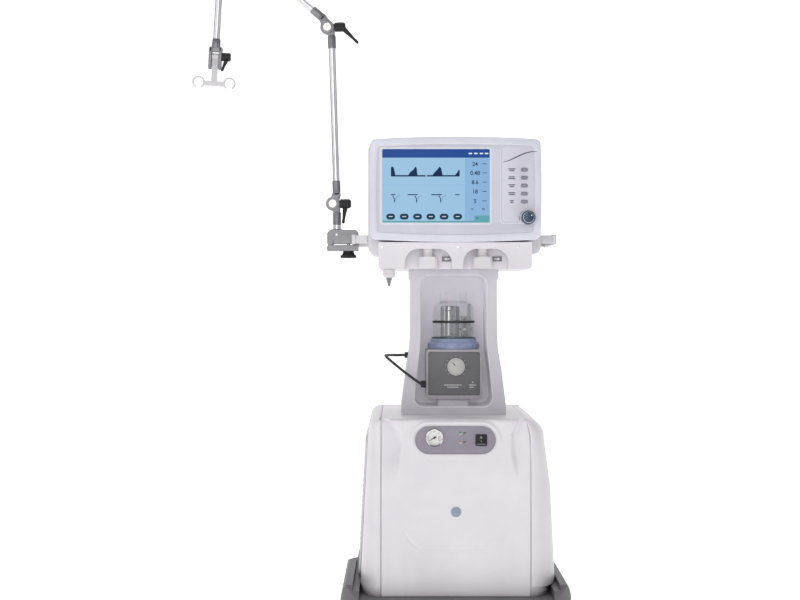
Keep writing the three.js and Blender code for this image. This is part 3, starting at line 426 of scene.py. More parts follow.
for depth, y, turn in (("front", -SWIVEL[1], 180), ("rear", SWIVEL[1], 0)):
    for side, x in (("left", -SWIVEL[0]), ("right", SWIVEL[0])):
        there = Matrix.Translation((x, y, 0)) @ Matrix.Rotation(math.radians(turn), 4, "Z")
        corner = f"{depth}_{side}"
        piece(f"fork_{corner}", caster_fork(depth == "front"), f"caster_{corner}",
              [f"caster_fork_{corner}"], there)
        piece(f"tyre_and_wheel_{corner}", caster_wheel(), f"wheel_{corner}",
              [f"caster_wheel_{corner}"], there)
        if depth == "front":
            piece(f"brake_{side}", brake_pedal(), f"pedal_{side}",
                  [f"brake_pedal_{side}"], there)

# --------------------------------------------------------------------------------- cabinet mouldings
# The cabinet is four injection-moulded ABS shells on a steel frame. Its sides bulge, the right
# shoulder is full and the left one tight, and narrow seams show where the shells meet.

# Injection-moulded ABS: smooth and half glossy, with the faintest orange peel.
white_abs = moulded("white_abs_gloss_moulded", "#e9e5ea", "#e0dbe2", (0.3, 0.4), 2.0, 0.02)
# The same ABS from a textured mould: warmer and more matt.
warm_abs = moulded("warm_white_abs_fine_texture", "#dedbe0", "#d3cfd5", (0.4, 0.52), 0.9, 0.03)
# Soft black ABS, for switches, levers and knobs: dark, with a broad dull highlight.
black_abs = moulded("black_abs_textured", "#19161a", "#110f12", (0.45, 0.6), 0.9, 0.04)

FRONT_Y = -250
BACK_Y = 250
CABINET_TOP = 634
TOP_ROUND = 9
SEAM_X = 188
LEDGE = 213.4  # the sides step out over the base's wings here


def front_setback(z):
    """How far the front edge rolls back as it meets the cabinet's top."""
    rise = max(0.0, z - (CABINET_TOP - TOP_ROUND))
    return TOP_ROUND - math.sqrt(max(0.0, TOP_ROUND**2 - rise**2))


def along_line(points, z):
    """Width at a height, on a line of (height, width) points."""
    for (z0, w0), (z1, w1) in zip(points, points[1:]):
        if z <= z1:
            return w0 + (w1 - w0) * (z - z0) / max(z1 - z0, 1e-6)
    return points[-1][1]


RIGHT_SEAM = [(190.4, 188), (560, 188), (585, 186), (607, 183), (634, 176)]
LEFT_SEAM = [(190.4, 188), (634, 188)]
right_levels = [(190.4, 241), (LEDGE - 0.1, 241), (LEDGE, 255), (216, 257), (230, 256), (345, 250.6),
                (460, 245), (520, 237), *[(z, x) for x, z in arc((176, 581), (53, 53), 0, 90, 16)]]
left_levels = [(190.4, 241), (LEDGE - 0.1, 241), (LEDGE, 241), (330, 234.8), (450, 228.6), (560, 222.8),
               *[(z, x) for x, z in arc((198, 612), (22, 22), 0, 90, 10)], (633.9, 188.2)]


def side_shell(levels, seam, front_reach, sign):
    """A side moulding, as an open skin from the front seam round to the back panel."""
    rows = []
    for z, out in levels:
        inner = min(along_line(seam, z) + 0.4, out)
        bulge = out - inner
        rear = min(35, max(out - 200, 0))
        near = FRONT_Y + front_setback(z)
        row = [(inner + bulge * math.sin(t), near + front_reach * (1 - math.cos(t)))
               for t in [math.radians(7.5 * i) for i in range(13)]]
        row += [(out, y) for y in (-60, 60, 180)]
        row += [(min(out, 200) + rear * math.cos(t), BACK_Y - 35 + 35 * math.sin(t))
                for t in [math.radians(15 * i) for i in range(7)]]
        row.append((min(out, 200.4), BACK_Y))
        rows.append([(sign * x, y, z) for x, y in row])
    wide = len(rows[0])
    corners = [c for row in rows for c in row]
    faces = []
    for r in range(len(rows) - 1):
        for i in range(wide - 1):
            quad = (r * wide + i, r * wide + i + 1, (r + 1) * wide + i + 1, (r + 1) * wide + i)
            faces.append(quad if sign > 0 else quad[::-1])
    mesh = bpy.data.meshes.new("shape")
    mesh.from_pydata(corners, [], faces)
    shape = bpy.data.objects.new("shape", mesh)
    bpy.context.collection.objects.link(shape)
    return shape


def thicken(made, thickness):
    """Gives an open skin its wall, on the inside."""
    wall = made.modifiers.new("wall", "SOLIDIFY")
    wall.thickness = thickness * MILLIMETRE
    wall.offset = -1
    return made


thicken(piece("cabinet_side_right_shell", [(side_shell(right_levels, RIGHT_SEAM, 100, 1), white_abs)],
              "machine", ["cabinet_side_right"], crease=50), 5)
thicken(piece("cabinet_side_left_shell", [(side_shell(left_levels, LEFT_SEAM, 85, -1), white_abs)],
              "machine", ["cabinet_side_left"], crease=50), 5)

lid = [(-187.4, FRONT_Y + TOP_ROUND), (175.4, FRONT_Y + TOP_ROUND), (175.4, 244), (-187.4, 244)]
piece("cabinet_lid", [(plate("z", [lid], (628, CABINET_TOP), 0.8), white_abs)],
      "machine", ["cabinet_top"])

# ------------------------------------------------------------------------------------ front panel
# The front panel is one ABS moulding. A rib arches over the control plate, two shallow scallops
# curve down beside it, and a soft channel crosses the panel near its foot.

CONTROL_X, CONTROL_Z = -1.5, 581.4
CREASE_LEFT = [(480, -146), (509, -143), (572, -134), (602, -140), (631, -162), (640, -168)]
CREASE_RIGHT = [(480, 150), (502, 147), (554, 137), (598, 136), (631, 154), (640, 160)]


def smooth(t):
    t = min(1.0, max(0.0, t))
    return t * t * (3 - 2 * t)


def panel_relief(x, z, seam):
    """How far the panel's skin lies behind its front plane, in millimetres."""
    crease = along_line(CREASE_RIGHT if x > 0 else CREASE_LEFT, z)
    outside = (x - crease) / (seam - crease) if x > 0 else (x - crease) / (-SEAM_X - crease)
    scallop = 0.0
    if outside > 0:
        scallop = 15 * smooth(outside / 0.2) * (1 - 0.85 * outside) * smooth((z - 478) / 70)
    reach = max(0.0, abs(x - CONTROL_X) - 66)
    past = math.hypot(reach, z - CONTROL_Z) - 35
    rib = -3.2 * math.exp(-(((past - 9) / 3.8) ** 2)) * smooth((z - 560) / 30)
    shade = 2.4 * math.exp(-(((past - 17) / 5) ** 2)) * smooth((z - 575) / 30)
    lift = max(0.0, abs(x) - 78)
    channel_z = 308 + 0.016 * lift**2
    channel = 3.4 * math.exp(-(((z - channel_z) / 5.0) ** 2)) * smooth((135 - abs(x)) / 20)
    lower = 1.3 * smooth((channel_z - z) / 8) * smooth((z - 200) / 20) * smooth((135 - abs(x)) / 18)
    ledge = 1.0 * math.exp(-(((z - 531 + x * 0.02) / 3.2) ** 2)) * smooth((62 - abs(x + 11)) / 20)
    edge = 1.5 * smooth(1 - min(seam - x, x + SEAM_X) / 3.0)
    return front_setback(z) + scallop + rib + shade + channel + lower + ledge + edge


PANEL_ROWS, PANEL_COLUMNS = 150, 126
corners = []
for r in range(PANEL_ROWS + 1):
    z = 190.4 + (CABINET_TOP - 190.4) * (1 - (1 - r / PANEL_ROWS) ** 1.15)
    seam = along_line(RIGHT_SEAM, z) - 0.5
    for c in range(PANEL_COLUMNS + 1):
        u = c / PANEL_COLUMNS
        x = -187.4 + (seam + 187.4) * u
        corners.append((x, FRONT_Y + panel_relief(x, z, seam), z))
wide = PANEL_COLUMNS + 1
faces = [(r * wide + c, r * wide + c + 1, (r + 1) * wide + c + 1, (r + 1) * wide + c)
         for r in range(PANEL_ROWS) for c in range(PANEL_COLUMNS)]
mesh = bpy.data.meshes.new("shape")
mesh.from_pydata(corners, [], faces)
skin = bpy.data.objects.new("shape", mesh)
bpy.context.collection.objects.link(skin)
thicken(piece("cabinet_front_panel", [(skin, white_abs)], "machine",
              ["cabinet_front"], crease=60), 4)

# A plain round badge, printed on acetate, is stuck to the middle of the panel.
badge_print = moulded("grey_printed_acetate", "#93a3b1", "#8797a6", (0.2, 0.3), 1.0, 0.005)
piece("plain_badge", [(turned("y", [(0, -250.2), (0, -251.2), (12, -251.2), (13, -250.7), (13, -250)],
                              (0, 402), 64), badge_print)], "machine")

# ------------------------------------------------------------------------------------ back panel
# The back panel is a flat ABS moulding held by eight screws. It has the cooling fan's grille, the
# mains inlet and a lower grille for the compressor's air.

# Stainless steel: brushed along its length, with soft streaked reflections.
brushed_steel, shader = start_finish("brushed_stainless_steel", {"Metallic": 1.0})
grain(brushed_steel, shader, mottle(brushed_steel, shader, "#efeef0", "#dfdee2", 60, (0.26, 0.4)),
      0.8, 0.012, (1, 1, 0.04))

FAN_Z = 480
slots = []
for row in (-45, -33, -21, -9, 9, 21, 33, 45):
    half = math.sqrt(52**2 - row**2)
    slots.append(rounded((-half, half), (FAN_Z + row - 3, FAN_Z + row + 3), 2.9, 4))
for row in range(7):
    for x in (-150, -50, 50):
        slots.append(rounded((x - 38, x + 38), (352 + row * 12, 357 + row * 12), 2.4, 4))
inlet_hole = rounded((99.5, 128.5), (234.5, 255.5), 2)
back = [rounded((-199.4, 199.4), (191, 633.4), 6)]
parts = [(plate("y", back + slots + [inlet_hole], (244.4, 250), 0.8), warm_abs)]
socket = [(92, 230), (136, 230), (136, 260), (92, 260)]
parts += [(plate("y", [socket, inlet_hole], (226, 249), 0.8), black_abs),
          (brick((96, 132), (224, 228), (232, 258), 0.6), black_abs)]
for x, z in ((107, 242), (114, 248.5), (121, 242)):  # the inlet's three blades
    parts.append((brick((x - 1, x + 1), (228, 243), (z - 2.6, z + 2.6), 0.3), brushed_steel))
for x in (-188, 188):
    for z in (205, 345, 485, 620):
        parts.append((turned("y", [(0, 250.2), (0, 252.4), (2.6, 252.2), (4, 250.9), (4, 250)], (x, z), 20),
                      brushed_steel))
parts.append((bar("y", 3, (220, 246), (0, FAN_Z), 0.4, 20), brushed_steel))
for angle in (45, 135, 225, 315):  # screws that hold the fan's frame
    t = math.radians(angle)
    x, z = 62 * math.cos(t), FAN_Z + 62 * math.sin(t)
    parts.append((turned("y", [(0, 250.2), (0, 251.8), (3.4, 250.9), (3.4, 250)], (x, z), 20),
                  brushed_steel))
piece("cabinet_back_panel", parts, "machine", ["cabinet_back"])

# Inside, the compressor is cast iron under grey enamel, the tank is enamelled steel and the fan's
# rotor is glass-filled nylon. They show only through the grilles.
iron_enamel = moulded("grey_enamelled_cast_iron", "#5d6064", "#46494d", (0.4, 0.6), 1.5, 0.15)
for node in ("compressor", "air_tank"):
    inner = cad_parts[node]
    inner.data.materials.clear()
    inner.data.materials.append(iron_enamel)
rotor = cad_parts["fan_rotor"]
rotor.data.materials.clear()
rotor.data.materials.append(black_abs)

# The air filter's cover clips to the left side: a thin ABS lid with louvres.
cover = plate("x", [rounded((-118, 188), (216, 580), 24)], (-7, 0), 2.5)
louvres = []
for row in range(12):
    z = 300 + row * 14
    fin = plate("x", [rounded((-60, 130), (z, z + 6), 2.9, 4)], (-9, -4), 1.2)
    louvres.append((fin, warm_abs))
lean = Matrix(((1, 0, (241.7 - 222.1) / (583 - 214.5), -241.4 - 214.5 * (241.7 - 222.1) / (583 - 214.5)),
               (0, 1, 0, 0), (0, 0, 1, 0), (0, 0, 0, 1)))
piece("air_filter_cover", [(cover, warm_abs), *louvres], "machine",
      ["filter_cover"], lean)

# ------------------------------------------------------------------------------------ control plate
# An oval plate of grey ABS, let into the front panel, carries the supply pressure gauge, two
# indicator lamps with plain legends beside them, and the mains rocker in its square frame.

# Grey ABS from a satin mould.
grey_abs = moulded("lilac_grey_abs_satin", "#98919e", "#8d8693", (0.34, 0.46), 1.2, 0.02)
# White enamel print, for dials and legends: flat and even.
white_print = moulded("white_dial_enamel", "#f2f1ee", "#e9e8e5", (0.35, 0.45), 0.6, 0.004)
dark_print = moulded("dark_screen_printed_ink", "#36323a", "#2c2930", (0.45, 0.6), 0.6, 0.004)
# Chrome-plated brass: a mirror with a slightly warm edge.
chrome, shader = start_finish("polished_chrome_plate", {"Metallic": 1.0})
grain(chrome, shader, mottle(chrome, shader, "#e2e1e4", "#d5d4d8", 80, (0.06, 0.14)), 6.0, 0.004)

PLATE_Y = (-253.4, -250.2)
GAUGE_X, GAUGE_Z = -53.8, 588
ROCKER_X, ROCKER_Z = 63, 582


def stadium(centre, width, height, steps=14):
    """A bar with round ends."""
    r = height / 2
    reach = width / 2 - r
    return [*arc((centre[0] + reach, centre[1]), (r, r), -90, 90, steps),
            *arc((centre[0] - reach, centre[1]), (r, r), 90, 270, steps)]


def square(x, z, half, r):
    return rounded((x - half, x + half), (z - half, z + half), r, 5)


oval = stadium((CONTROL_X, CONTROL_Z), 202, 70)
lip = stadium((CONTROL_X, CONTROL_Z), 196, 64)
gauge_hole = arc((GAUGE_X, GAUGE_Z), (20.5, 20.5), 0, 352.5, 47)
rocker_hole = square(ROCKER_X, ROCKER_Z, 12, 1.5)
parts = [
    (plate("y", [oval, gauge_hole, rocker_hole], (PLATE_Y[0] + 0.7, PLATE_Y[1]), 0.9), grey_abs),
    (plate("y", [oval, lip], (PLATE_Y[0], PLATE_Y[1]), 1.0), grey_abs),
    (plate("y", [square(ROCKER_X, ROCKER_Z, 14.5, 3), rocker_hole], (-255.4, -252), 0.9), black_abs),
    (plate("y", [square(ROCKER_X, ROCKER_Z, 13.3, 2), rocker_hole], (-252.4, -233.4), 0.4), black_abs),
    (brick((ROCKER_X - 13, ROCKER_X + 13), (-236.4, -233.4), (ROCKER_Z - 13, ROCKER_Z + 13), 0.4), black_abs)]
for z in (599.5, 577):  # two lamps in bright bezels
    parts.append((turned("y", [(1.8, -252.6), (2.6, -254), (3.4, -253.6), (3.6, -252.4)], (11, z), 28),
                  chrome))
    for line, width in enumerate((9, 6)):  # a plain two-line legend
        parts.append((brick((17.5, 17.5 + width), (-253.0, -252.6), (z + 0.6 - line * 3, z + 2 - line * 3),
                            0.2), dark_print))
piece("control_plate_moulding", parts, "machine", ["control_plate"])

# Moulded polycarbonate lamp lenses: one green, one amber.
for name, z, colour in (("green", 599.5, "#4fa765"), ("amber", 577, "#d59a35")):
    lens, shader = start_finish(f"{name}_lamp_polycarbonate", {
        "Roughness": 0.15, "IOR": 1.58, "Coat Weight": 0.4})
    mottle(lens, shader, colour, colour, 5, (0.12, 0.2))
    piece(f"lamp_{name}", [(turned("y", [(0, -252.4), (0, -254.4), (1.2, -254.1), (2, -253), (2, -252.4)],
                                   (11, z), 24), lens)], "machine")

# ------------------------------------------------------------------------------------ gauge
# A bourdon-tube pressure gauge: a chromed brass bezel round a white enamelled dial, with a plain
# scale and a black pointer.

DIAL_Y = -250.6
parts = [
    (turned("y", [(18.6, -253.8), (19.2, -257.0), (20.6, -257.8), (21.8, -256.8), (22, -255), (22, -253.8)],
            (GAUGE_X, GAUGE_Z), 72), chrome),
    (turned("y", [(0, -226), (19.6, -226), (19.8, -253.6), (18.8, -253.6), (18.7, DIAL_Y), (0, DIAL_Y)],
            (GAUGE_X, GAUGE_Z), 64), white_print)]
for step in range(25):  # the scale runs over 240 degrees
    t = math.radians(210 - 10 * step)
    long = step % 4 == 0
    tick = brick((13.2 if long else 14.8, 16.6), (DIAL_Y - 0.25, DIAL_Y + 0.1),
                 (-0.42, 0.42) if long else (-0.22, 0.22), 0.1)
    tick.data.transform(Matrix.Translation((GAUGE_X, 0, GAUGE_Z)) @ Matrix.Rotation(-t, 4, "Y"))
    parts.append((tick, dark_print))
band = [(10.6 * math.cos(t), 10.6 * math.sin(t)) for t in [math.radians(20 - 2.5 * i) for i in range(21)]]
band += [(12 * math.cos(t), 12 * math.sin(t)) for t in [math.radians(-30 + 2.5 * i) for i in range(21)]]
band = [(GAUGE_X + a, GAUGE_Z + b) for a, b in band]
red_print = moulded("red_dial_enamel", "#b8433d", "#a83a35", (0.35, 0.45), 0.6, 0.004)
parts.append((plate("y", [band], (DIAL_Y - 0.25, DIAL_Y + 0.05), 0.1), red_print))
piece("supply_gauge", parts, "machine", ["pressure_gauge"])

pointer = [(1.7, -5), (0.4, 14.6), (-0.4, 14.6), (-1.7, -5)]
needle_place = Matrix.Translation((GAUGE_X, -253.8, GAUGE_Z)) @ Matrix.Rotation(math.radians(-120), 4, "Y")
piece("gauge_pointer", [
    (plate("y", [pointer], (-2.0, -1.2), 0.2), black_abs),
    (turned("y", [(0, -3.0), (1.8, -3.0), (2.6, -2.4), (2.6, -1), (0, -1)], (0, 0), 32), black_abs),
    (bar("y", 1.2, (-1.2, 6), (0, 0), 0.2, 16), brushed_steel),
], "gauge_needle", ["gauge_needle"], needle_place)

# Rocker: a black ABS paddle dished along its face, with a white dash and ring moulded in.
dished = [(-9.2, -10.4), (1.6, -10), (3.4, -6.2), (4.6, 0), (3.4, 6.2), (1.6, 10), (-9.2, 10.4), (-7.6, 5),
          (-6.8, 0), (-7.6, -5)]
rocker_place = Matrix.Translation((ROCKER_X, -246.4, ROCKER_Z)) @ Matrix.Rotation(math.radians(-10), 4, "X")
piece("mains_rocker", [
    (plate("x", [dished], (-11.5, 11.5), 0.5), black_abs),
    (bar("x", 1.5, (-12.6, 12.6), (0, 0), 0.3, 16), black_abs),
    (brick((-0.5, 0.5), (-8.9, -8.3), (-6.6, -3.2), 0.15), white_print),
    (turned("y", [(1.5, -8.9), (2.1, -8.9), (2.1, -8.2), (1.5, -8.2)], (0, 5.2), 28), white_print),
], "power_rocker", ["power_rocker"], rocker_place)

# ------------------------------------------------------------------------------------------ column
# The column is one ABS moulding whose sides swell towards its foot. Its niche is open to the front,
# with a pedestal for the humidifier, and a round boss on its left side takes the sensor lead.

# Greyer ABS for the column, and a paler satin liner in its niche. The liner's paler colour and faint glow are
# painted light that lifts the shade inside the niche.
column_abs = moulded("pale_grey_abs_gloss_moulded", "#d3d0d7", "#c9c6ce", (0.3, 0.4), 2.0, 0.02)
niche_liner_painted_glow = moulded("white_abs_liner_painted_glow", "#f6f3f7", "#ece9ef", (0.42, 0.52), 1.6, 0.02,
                    {"Emission Color": linear("#ece9f0"), "Emission Strength": 0.1})

half_width = [(137, 634.4), (137, 652), (134, 676), (131, 700), (127.6, 725), (125, 750), (120.5, 775),
              (116, 800), (114, 830), (113, 860), (113, 982), (114, 985.5), (117, 989), (117, 1010.6)]
niche = mirrored([*arc((79, 675), (23, 23), -90, 0, 10), (101, 690), (97.5, 730), (94, 760), (88.6, 806),
                  (87, 850), *arc((60, 970), (28, 28), 0, 90, 12)])
shell = combine("INTERSECT", prism("y", mirrored(half_width), (-100, 100)),
                prism("z", rounded((-140, 140), (-100, 100), 7, 8), (633, 1012)))
shell = combine("DIFFERENCE", shell, prism("y", niche, (-101, 75)))
NICHE_Z = 824


def niche_grown(by, y0, y1):
    """The niche's outline, scaled a little about its own middle."""
    return prism("y", [(a * by, NICHE_Z + (b - NICHE_Z) * by) for a, b in niche], (y0, y1))


liner = combine("DIFFERENCE", niche_grown(1.006, -98, 76), niche_grown(0.994, -110, 74.4))
parts = [
    (shell, column_abs),
    (liner, niche_liner_painted_glow),
    (brick((-42, 42), (-62, 50), (650, 670.6), 2, 8), column_abs),
    (bar("x", 8, (-128, -114), (45, 783), 1.5), black_abs),
    (turned("x", [(0, -118), (11, -118), (12, -117), (12, -110), (0, -110)], (45, 783), 40), column_abs)]
for row in range(9):  # cooling slots, low on the column's back
    fin = plate("y", [rounded((-60, 60), (700 + row * 14, 705 + row * 14), 2.4, 4)], (97, 101.2), 0.8)
    parts.append((fin, warm_abs))
for x in (-104, 104):
    for z in (660, 960):
        parts.append((turned("y", [(0, 99.5), (0, 101.8), (3, 101.6), (4.2, 100.4), (4.2, 99.5)],
                             (x, z), 20), brushed_steel))
piece("column_moulding", parts, "machine", ["column_shell"], edge=2.0)

# -------------------------------------------------------------------------------------- humidifier
# The humidifier is a heated plate in a grey polycarbonate housing. A lighter frame surrounds its
# dark face, which has one ivory dial with a printed scale, a lamp and plain legends.

# Painted polycarbonate, dark for the face and light for the frame round it.
face_paint = moulded("dark_grey_textured_polycarbonate", "#706f72", "#636265", (0.4, 0.54), 0.8, 0.03)
frame_paint = moulded("warm_grey_painted_polycarbonate", "#aeabaf", "#a09da2", (0.34, 0.46), 1.0, 0.02)
# Urea-formaldehyde: hard, ivory-coloured and slightly waxy.
ivory_urea = moulded("ivory_urea_moulding", "#cbc6c2", "#bfbab6", (0.34, 0.46), 1.2, 0.02,
                     {"Subsurface Weight": 0.08})

HOUSING_Y = (-75, 65)
HOUSING_Z = (671, 802)
outer = rounded((-72, 76), HOUSING_Z, 9, 8)
window = rounded((-65.5, 70), (682, 795.5), 4, 6)
parts = [
    (plate("y", [outer, window], (HOUSING_Y[0], -69), 1.4), frame_paint),
    (plate("y", [outer], (-69.6, HOUSING_Y[1]), 1.6), frame_paint),
    (plate("y", [rounded((-65.2, 69.7), (682.3, 795.2), 3.8, 6)], (-73.2, -68), 0.6), face_paint),
    (turned("z", [(0, 799), (64, 799), (66, 800.6), (66, 802.2), (0, 802.2)], (3, -5), 64), brushed_steel)]
DIAL_X, DIAL_Z = 7, 757
for step in range(11):  # the dial's scale
    t = math.radians(225 - 27 * step)
    tick = brick((26.5, 30 if step % 5 == 0 else 28.8), (-73.5, -73.1), (-0.5, 0.5), 0.1)
    tick.data.transform(Matrix.Translation((DIAL_X, 0, DIAL_Z)) @ Matrix.Rotation(-t, 4, "Y"))
    parts.append((tick, white_print))
for x0, x1, z in ((-24, 22, 708), (-16, 14, 702.5), (42, 60, 708), (42, 54, 702.5)):  # plain legends
    parts.append((brick((x0, x1), (-73.5, -73.1), (z, z + 1.5), 0.15), white_print))
parts.append((turned("y", [(0, -73), (0, -75), (1.4, -74.6), (2.4, -73.4), (2.4, -73)], (51, 716), 28),
              ivory_urea))
for x in (-66, 70):  # the housing's two halves are screwed together from the side
    for y in (-40, 40):
        out = -1 if x < 0 else 1
        parts.append((turned("x", [(0, x), (3, x), (3, x + out * 6.4), (2, x + out * 7), (0, x + out * 7)],
                             (y, 700), 20), brushed_steel))
piece("humidifier_body", parts, "machine", ["humidifier_housing"])


def fluted(radius, depth, flutes, steps=6):
    """A round outline with shallow finger flutes."""
    count = flutes * steps
    return [((radius - depth * (0.5 - 0.5 * math.cos(2 * math.pi * i / steps)) ** 1.5)
             * math.cos(2 * math.pi * i / count),
             (radius - depth * (0.5 - 0.5 * math.cos(2 * math.pi * i / steps)) ** 1.5)
             * math.sin(2 * math.pi * i / count)) for i in range(count)]


piece("humidifier_control", [
    (plate("y", [fluted(23.4, 0.9, 30)], (-11, -0.3), 1.2), ivory_urea),
    (turned("y", [(0, -14), (16, -14), (18.6, -13.2), (20.5, -11), (21, -9), (0, -9)], (0, 0), 64),
     ivory_urea),
    (brick((-1.1, 1.1), (-14.3, -13.6), (4, 15), 0.3), dark_print),
    (bar("y", 3.6, (-2, 19), (0, 0), 0.6, 20), brushed_steel),
], "humidifier_dial", ["humidifier_dial"],
    Matrix.Translation((DIAL_X, -73.4, DIAL_Z)) @ Matrix.Rotation(math.radians(-38), 4, "Y"))

# ------------------------------------------------------------------------------------ water chamber
# A throw-away polycarbonate chamber sits on the heater plate: a blue-tinted skirt, a clear jar with
# a domed top, two tube ports, and an aluminium scroll and heating base that show through it.

# Clear polycarbonate: water-white, with slight flow marks that soften what shows through.
clear_wall, shader = start_finish("clear_polycarbonate_wall", {
    "IOR": 1.58, "Alpha": 0.14, "Coat Weight": 1.0})
grain(clear_wall, shader, mottle(clear_wall, shader, "#eef0f3", "#e2e6ec", 25, (0.04, 0.12)), 9, 0.03)
# Blue-tinted polycarbonate: the same resin with a dye, deeper where it is thick.
blue_tint, shader = start_finish("blue_tinted_polycarbonate", {"IOR": 1.58, "Alpha": 0.72})
grain(blue_tint, shader, mottle(blue_tint, shader, "#b3bfde", "#9caad0", 25, (0.08, 0.16)), 9, 0.02)
# Drawn aluminium: the die leaves fine lengthways lines in its skin, and dark and light lengthways streaks are
# painted into its colour as painted reflections in the bright wall.
aluminium_painted_reflections, shader = start_finish("aluminium_scroll_painted_reflections", {"Metallic": 1.0, "Roughness": 0.18})
where = add_node(aluminium_painted_reflections, "ShaderNodeTexCoord", {})
drawn = add_node(aluminium_painted_reflections, "ShaderNodeMapping", {
    "Vector": where.outputs["Object"], "Scale": (1, 1, 0.02)})
# Stretched noise paints near-black and near-white streaks: painted reflections, not the metal's own colour.
painted_reflection_streaks = add_node(aluminium_painted_reflections, "ShaderNodeTexNoise", {
    "Vector": drawn.outputs["Vector"], "Scale": 1000 / 11, "Detail": 3.0})
ramp = add_node(aluminium_painted_reflections, "ShaderNodeValToRGB", {"Fac": painted_reflection_streaks.outputs["Fac"]})
ramp.color_ramp.elements[0].position = 0.45
ramp.color_ramp.elements[0].color = linear("#2c2b30")
ramp.color_ramp.elements[1].position = 0.58
ramp.color_ramp.elements[1].color = linear("#e6e5e9")
aluminium_painted_reflections.node_tree.links.new(ramp.outputs["Color"], shader.inputs["Base Color"])
grain(aluminium_painted_reflections, shader, where, 1.0, 0.02, (0.05, 0.05, 1))

JAR = (3, -5)
FOOT = 802.4
parts = [
    (turned("z", [(52, FOOT), (68, FOOT), (69, FOOT + 1), (69, 816), (67.5, 818.4), (62, 821),
                  (59.5, 829), (57, 831), (53, 831), (53, 820), (52, 806)], JAR, 72), blue_tint),
    (turned("z", [(52.6, 829), (55, 829), (55, 908), (53.4, 914), (49, 920.5), (42, 926.5), (30, 930.4),
                  (14, 931.8), (0, 932), (0, 929.6), (14, 929.4), (29.4, 928), (40.6, 924.2),
                  (47, 918.8), (51, 912.6), (52.6, 907)], JAR, 72), clear_wall),
    (turned("z", [(55, 871), (56.2, 871.4), (56.2, 876.6), (55, 877), (54, 877), (54, 871)], JAR, 72),
     black_pvc)]
gasket = moulded("dark_green_nitrile_gasket", "#2f4a44", "#243a36", (0.4, 0.55), 1.0, 0.02)
parts.append((turned("z", [(54, 828.6), (58, 828.8), (58.6, 830), (58.4, 832.4), (56.5, 833), (54.6, 833)],
                     JAR, 72),
              gasket))
for rise in (FOOT + 5, FOOT + 10):  # grip rings moulded round the skirt
    parts.append((turned("z", [(68.6, rise), (69.6, rise + 0.6), (69.6, rise + 1.6), (68.6, rise + 2.2)],
                         JAR, 72),
                  blue_tint))
for x in (JAR[0] - 26, JAR[0] + 26):  # tube ports, each with a stop ring
    parts.append((turned("z", [(8.6, 923), (11.5, 923), (11.2, 930), (13, 930.5), (13, 933), (11, 933.6),
                               (10.6, 952), (10, 953), (9, 953), (8.6, 952)], (x, JAR[1]), 40), clear_wall))
for x, y in ((41, -26), (46, -8)):  # the float's guide and the feed tube
    parts.append((turned("z", [(3.4, 812), (4.6, 812), (4.6, 922), (3.4, 922)], (x, y), 24), clear_wall))
piece("chamber", parts, "machine", ["chamber_jar"])

CORE = (JAR[0] - 9, JAR[1])
core = [(0, FOOT), (46, FOOT), (48, FOOT + 1), (48, FOOT + 3), (30, 806), (26, 809), (26, 870)]
core += [(26, 911), (25, 914.4), (22, 916.4), (0, 916.4)]
piece("chamber_scroll", [
    (turned("z", core, CORE, 64), aluminium_painted_reflections),
    (turned("z", [(26, 871.6), (27.4, 872), (27.4, 876), (26, 876.4)], CORE, 64), black_pvc),
    (turned("z", [(25.8, 833), (26.5, 833.4), (26.5, 836), (25.8, 836.4)], CORE, 64), black_pvc),
    (turned("z", [(25.8, 903), (26.5, 903.4), (26.5, 905.4), (25.8, 905.8)], CORE, 64), black_pvc),
    (turned("z", [(0, 808), (13, 808), (13.6, 812), (13.6, 850), (16, 851), (16, 856), (13.6, 857),
                  (13.6, 884), (15, 885), (15, 888), (12, 889), (0, 889)], (JAR[0] + 33, JAR[1] + 10), 40),
     aluminium_painted_reflections),
], "machine", ["chamber_core"])

# ------------------------------------------------------------------------------ control unit's case
# The control unit's case is a painted steel wrap with a vented back, where the two gas inlets and a
# row of sockets are fixed.

# Powder-coated sheet steel: even and satin, with a fine leathery skin.
powder_coat = moulded("warm_white_powder_coated_steel", "#dddadf", "#d2cfd5", (0.38, 0.5), 1.2, 0.04)
# Nickel-plated brass: bright and slightly yellow.
nickel, shader = start_finish("nickel_plated_brass", {"Metallic": 1.0})
grain(nickel, shader, mottle(nickel, shader, "#cfccc4", "#bab6ad", 40, (0.16, 0.3)), 2.0, 0.008)

CASE_X = 222
case = rounded((-CASE_X, CASE_X), (1050.4, 1335), 18, 10)
parts = [(plate("y", [case], (-149.6, 113), 2.5), powder_coat),
         (plate("y", [rounded((-214, 214), (1058, 1327), 14, 8)], (110, 119.4), 2.0), powder_coat)]
for row in range(9):  # louvres pressed into the back
    for x in (-110, 110):
        louvre = plate("y", [rounded((x - 60, x + 60), (1200 + row * 11, 1204.5 + row * 11), 2.1, 4)],
                       (118.6, 120.6), 0.7)
        parts.append((louvre, powder_coat))
for side in (-1, 1):  # louvres in both side walls
    for row in range(8):
        out = plate("x", [rounded((-40, 80), (1180 + row * 15, 1186 + row * 15), 2.8, 4)],
                    (CASE_X - 1, CASE_X + 1.2) if side > 0 else (-CASE_X - 1.2, 1 - CASE_X), 0.9)
        parts.append((out, powder_coat))
for x in (-60, 60):  # threaded gas inlets, each on a hexagon
    thread = [(0, 119.5), (8.6, 119.5)]
    for ring in range(7):
        thread += [(8.0, 126 + ring * 2.4), (9.0, 127 + ring * 2.4)]
    thread += [(8.0, 144), (7, 145), (4.5, 145), (4.5, 136), (0, 136)]
    parts += [(turned("y", thread, (x, 1120), 36), nickel),
              (plate("y", [arc((x, 1120), (15, 15), 0, 300, 5)], (119.4, 125.6), 1.0), nickel)]
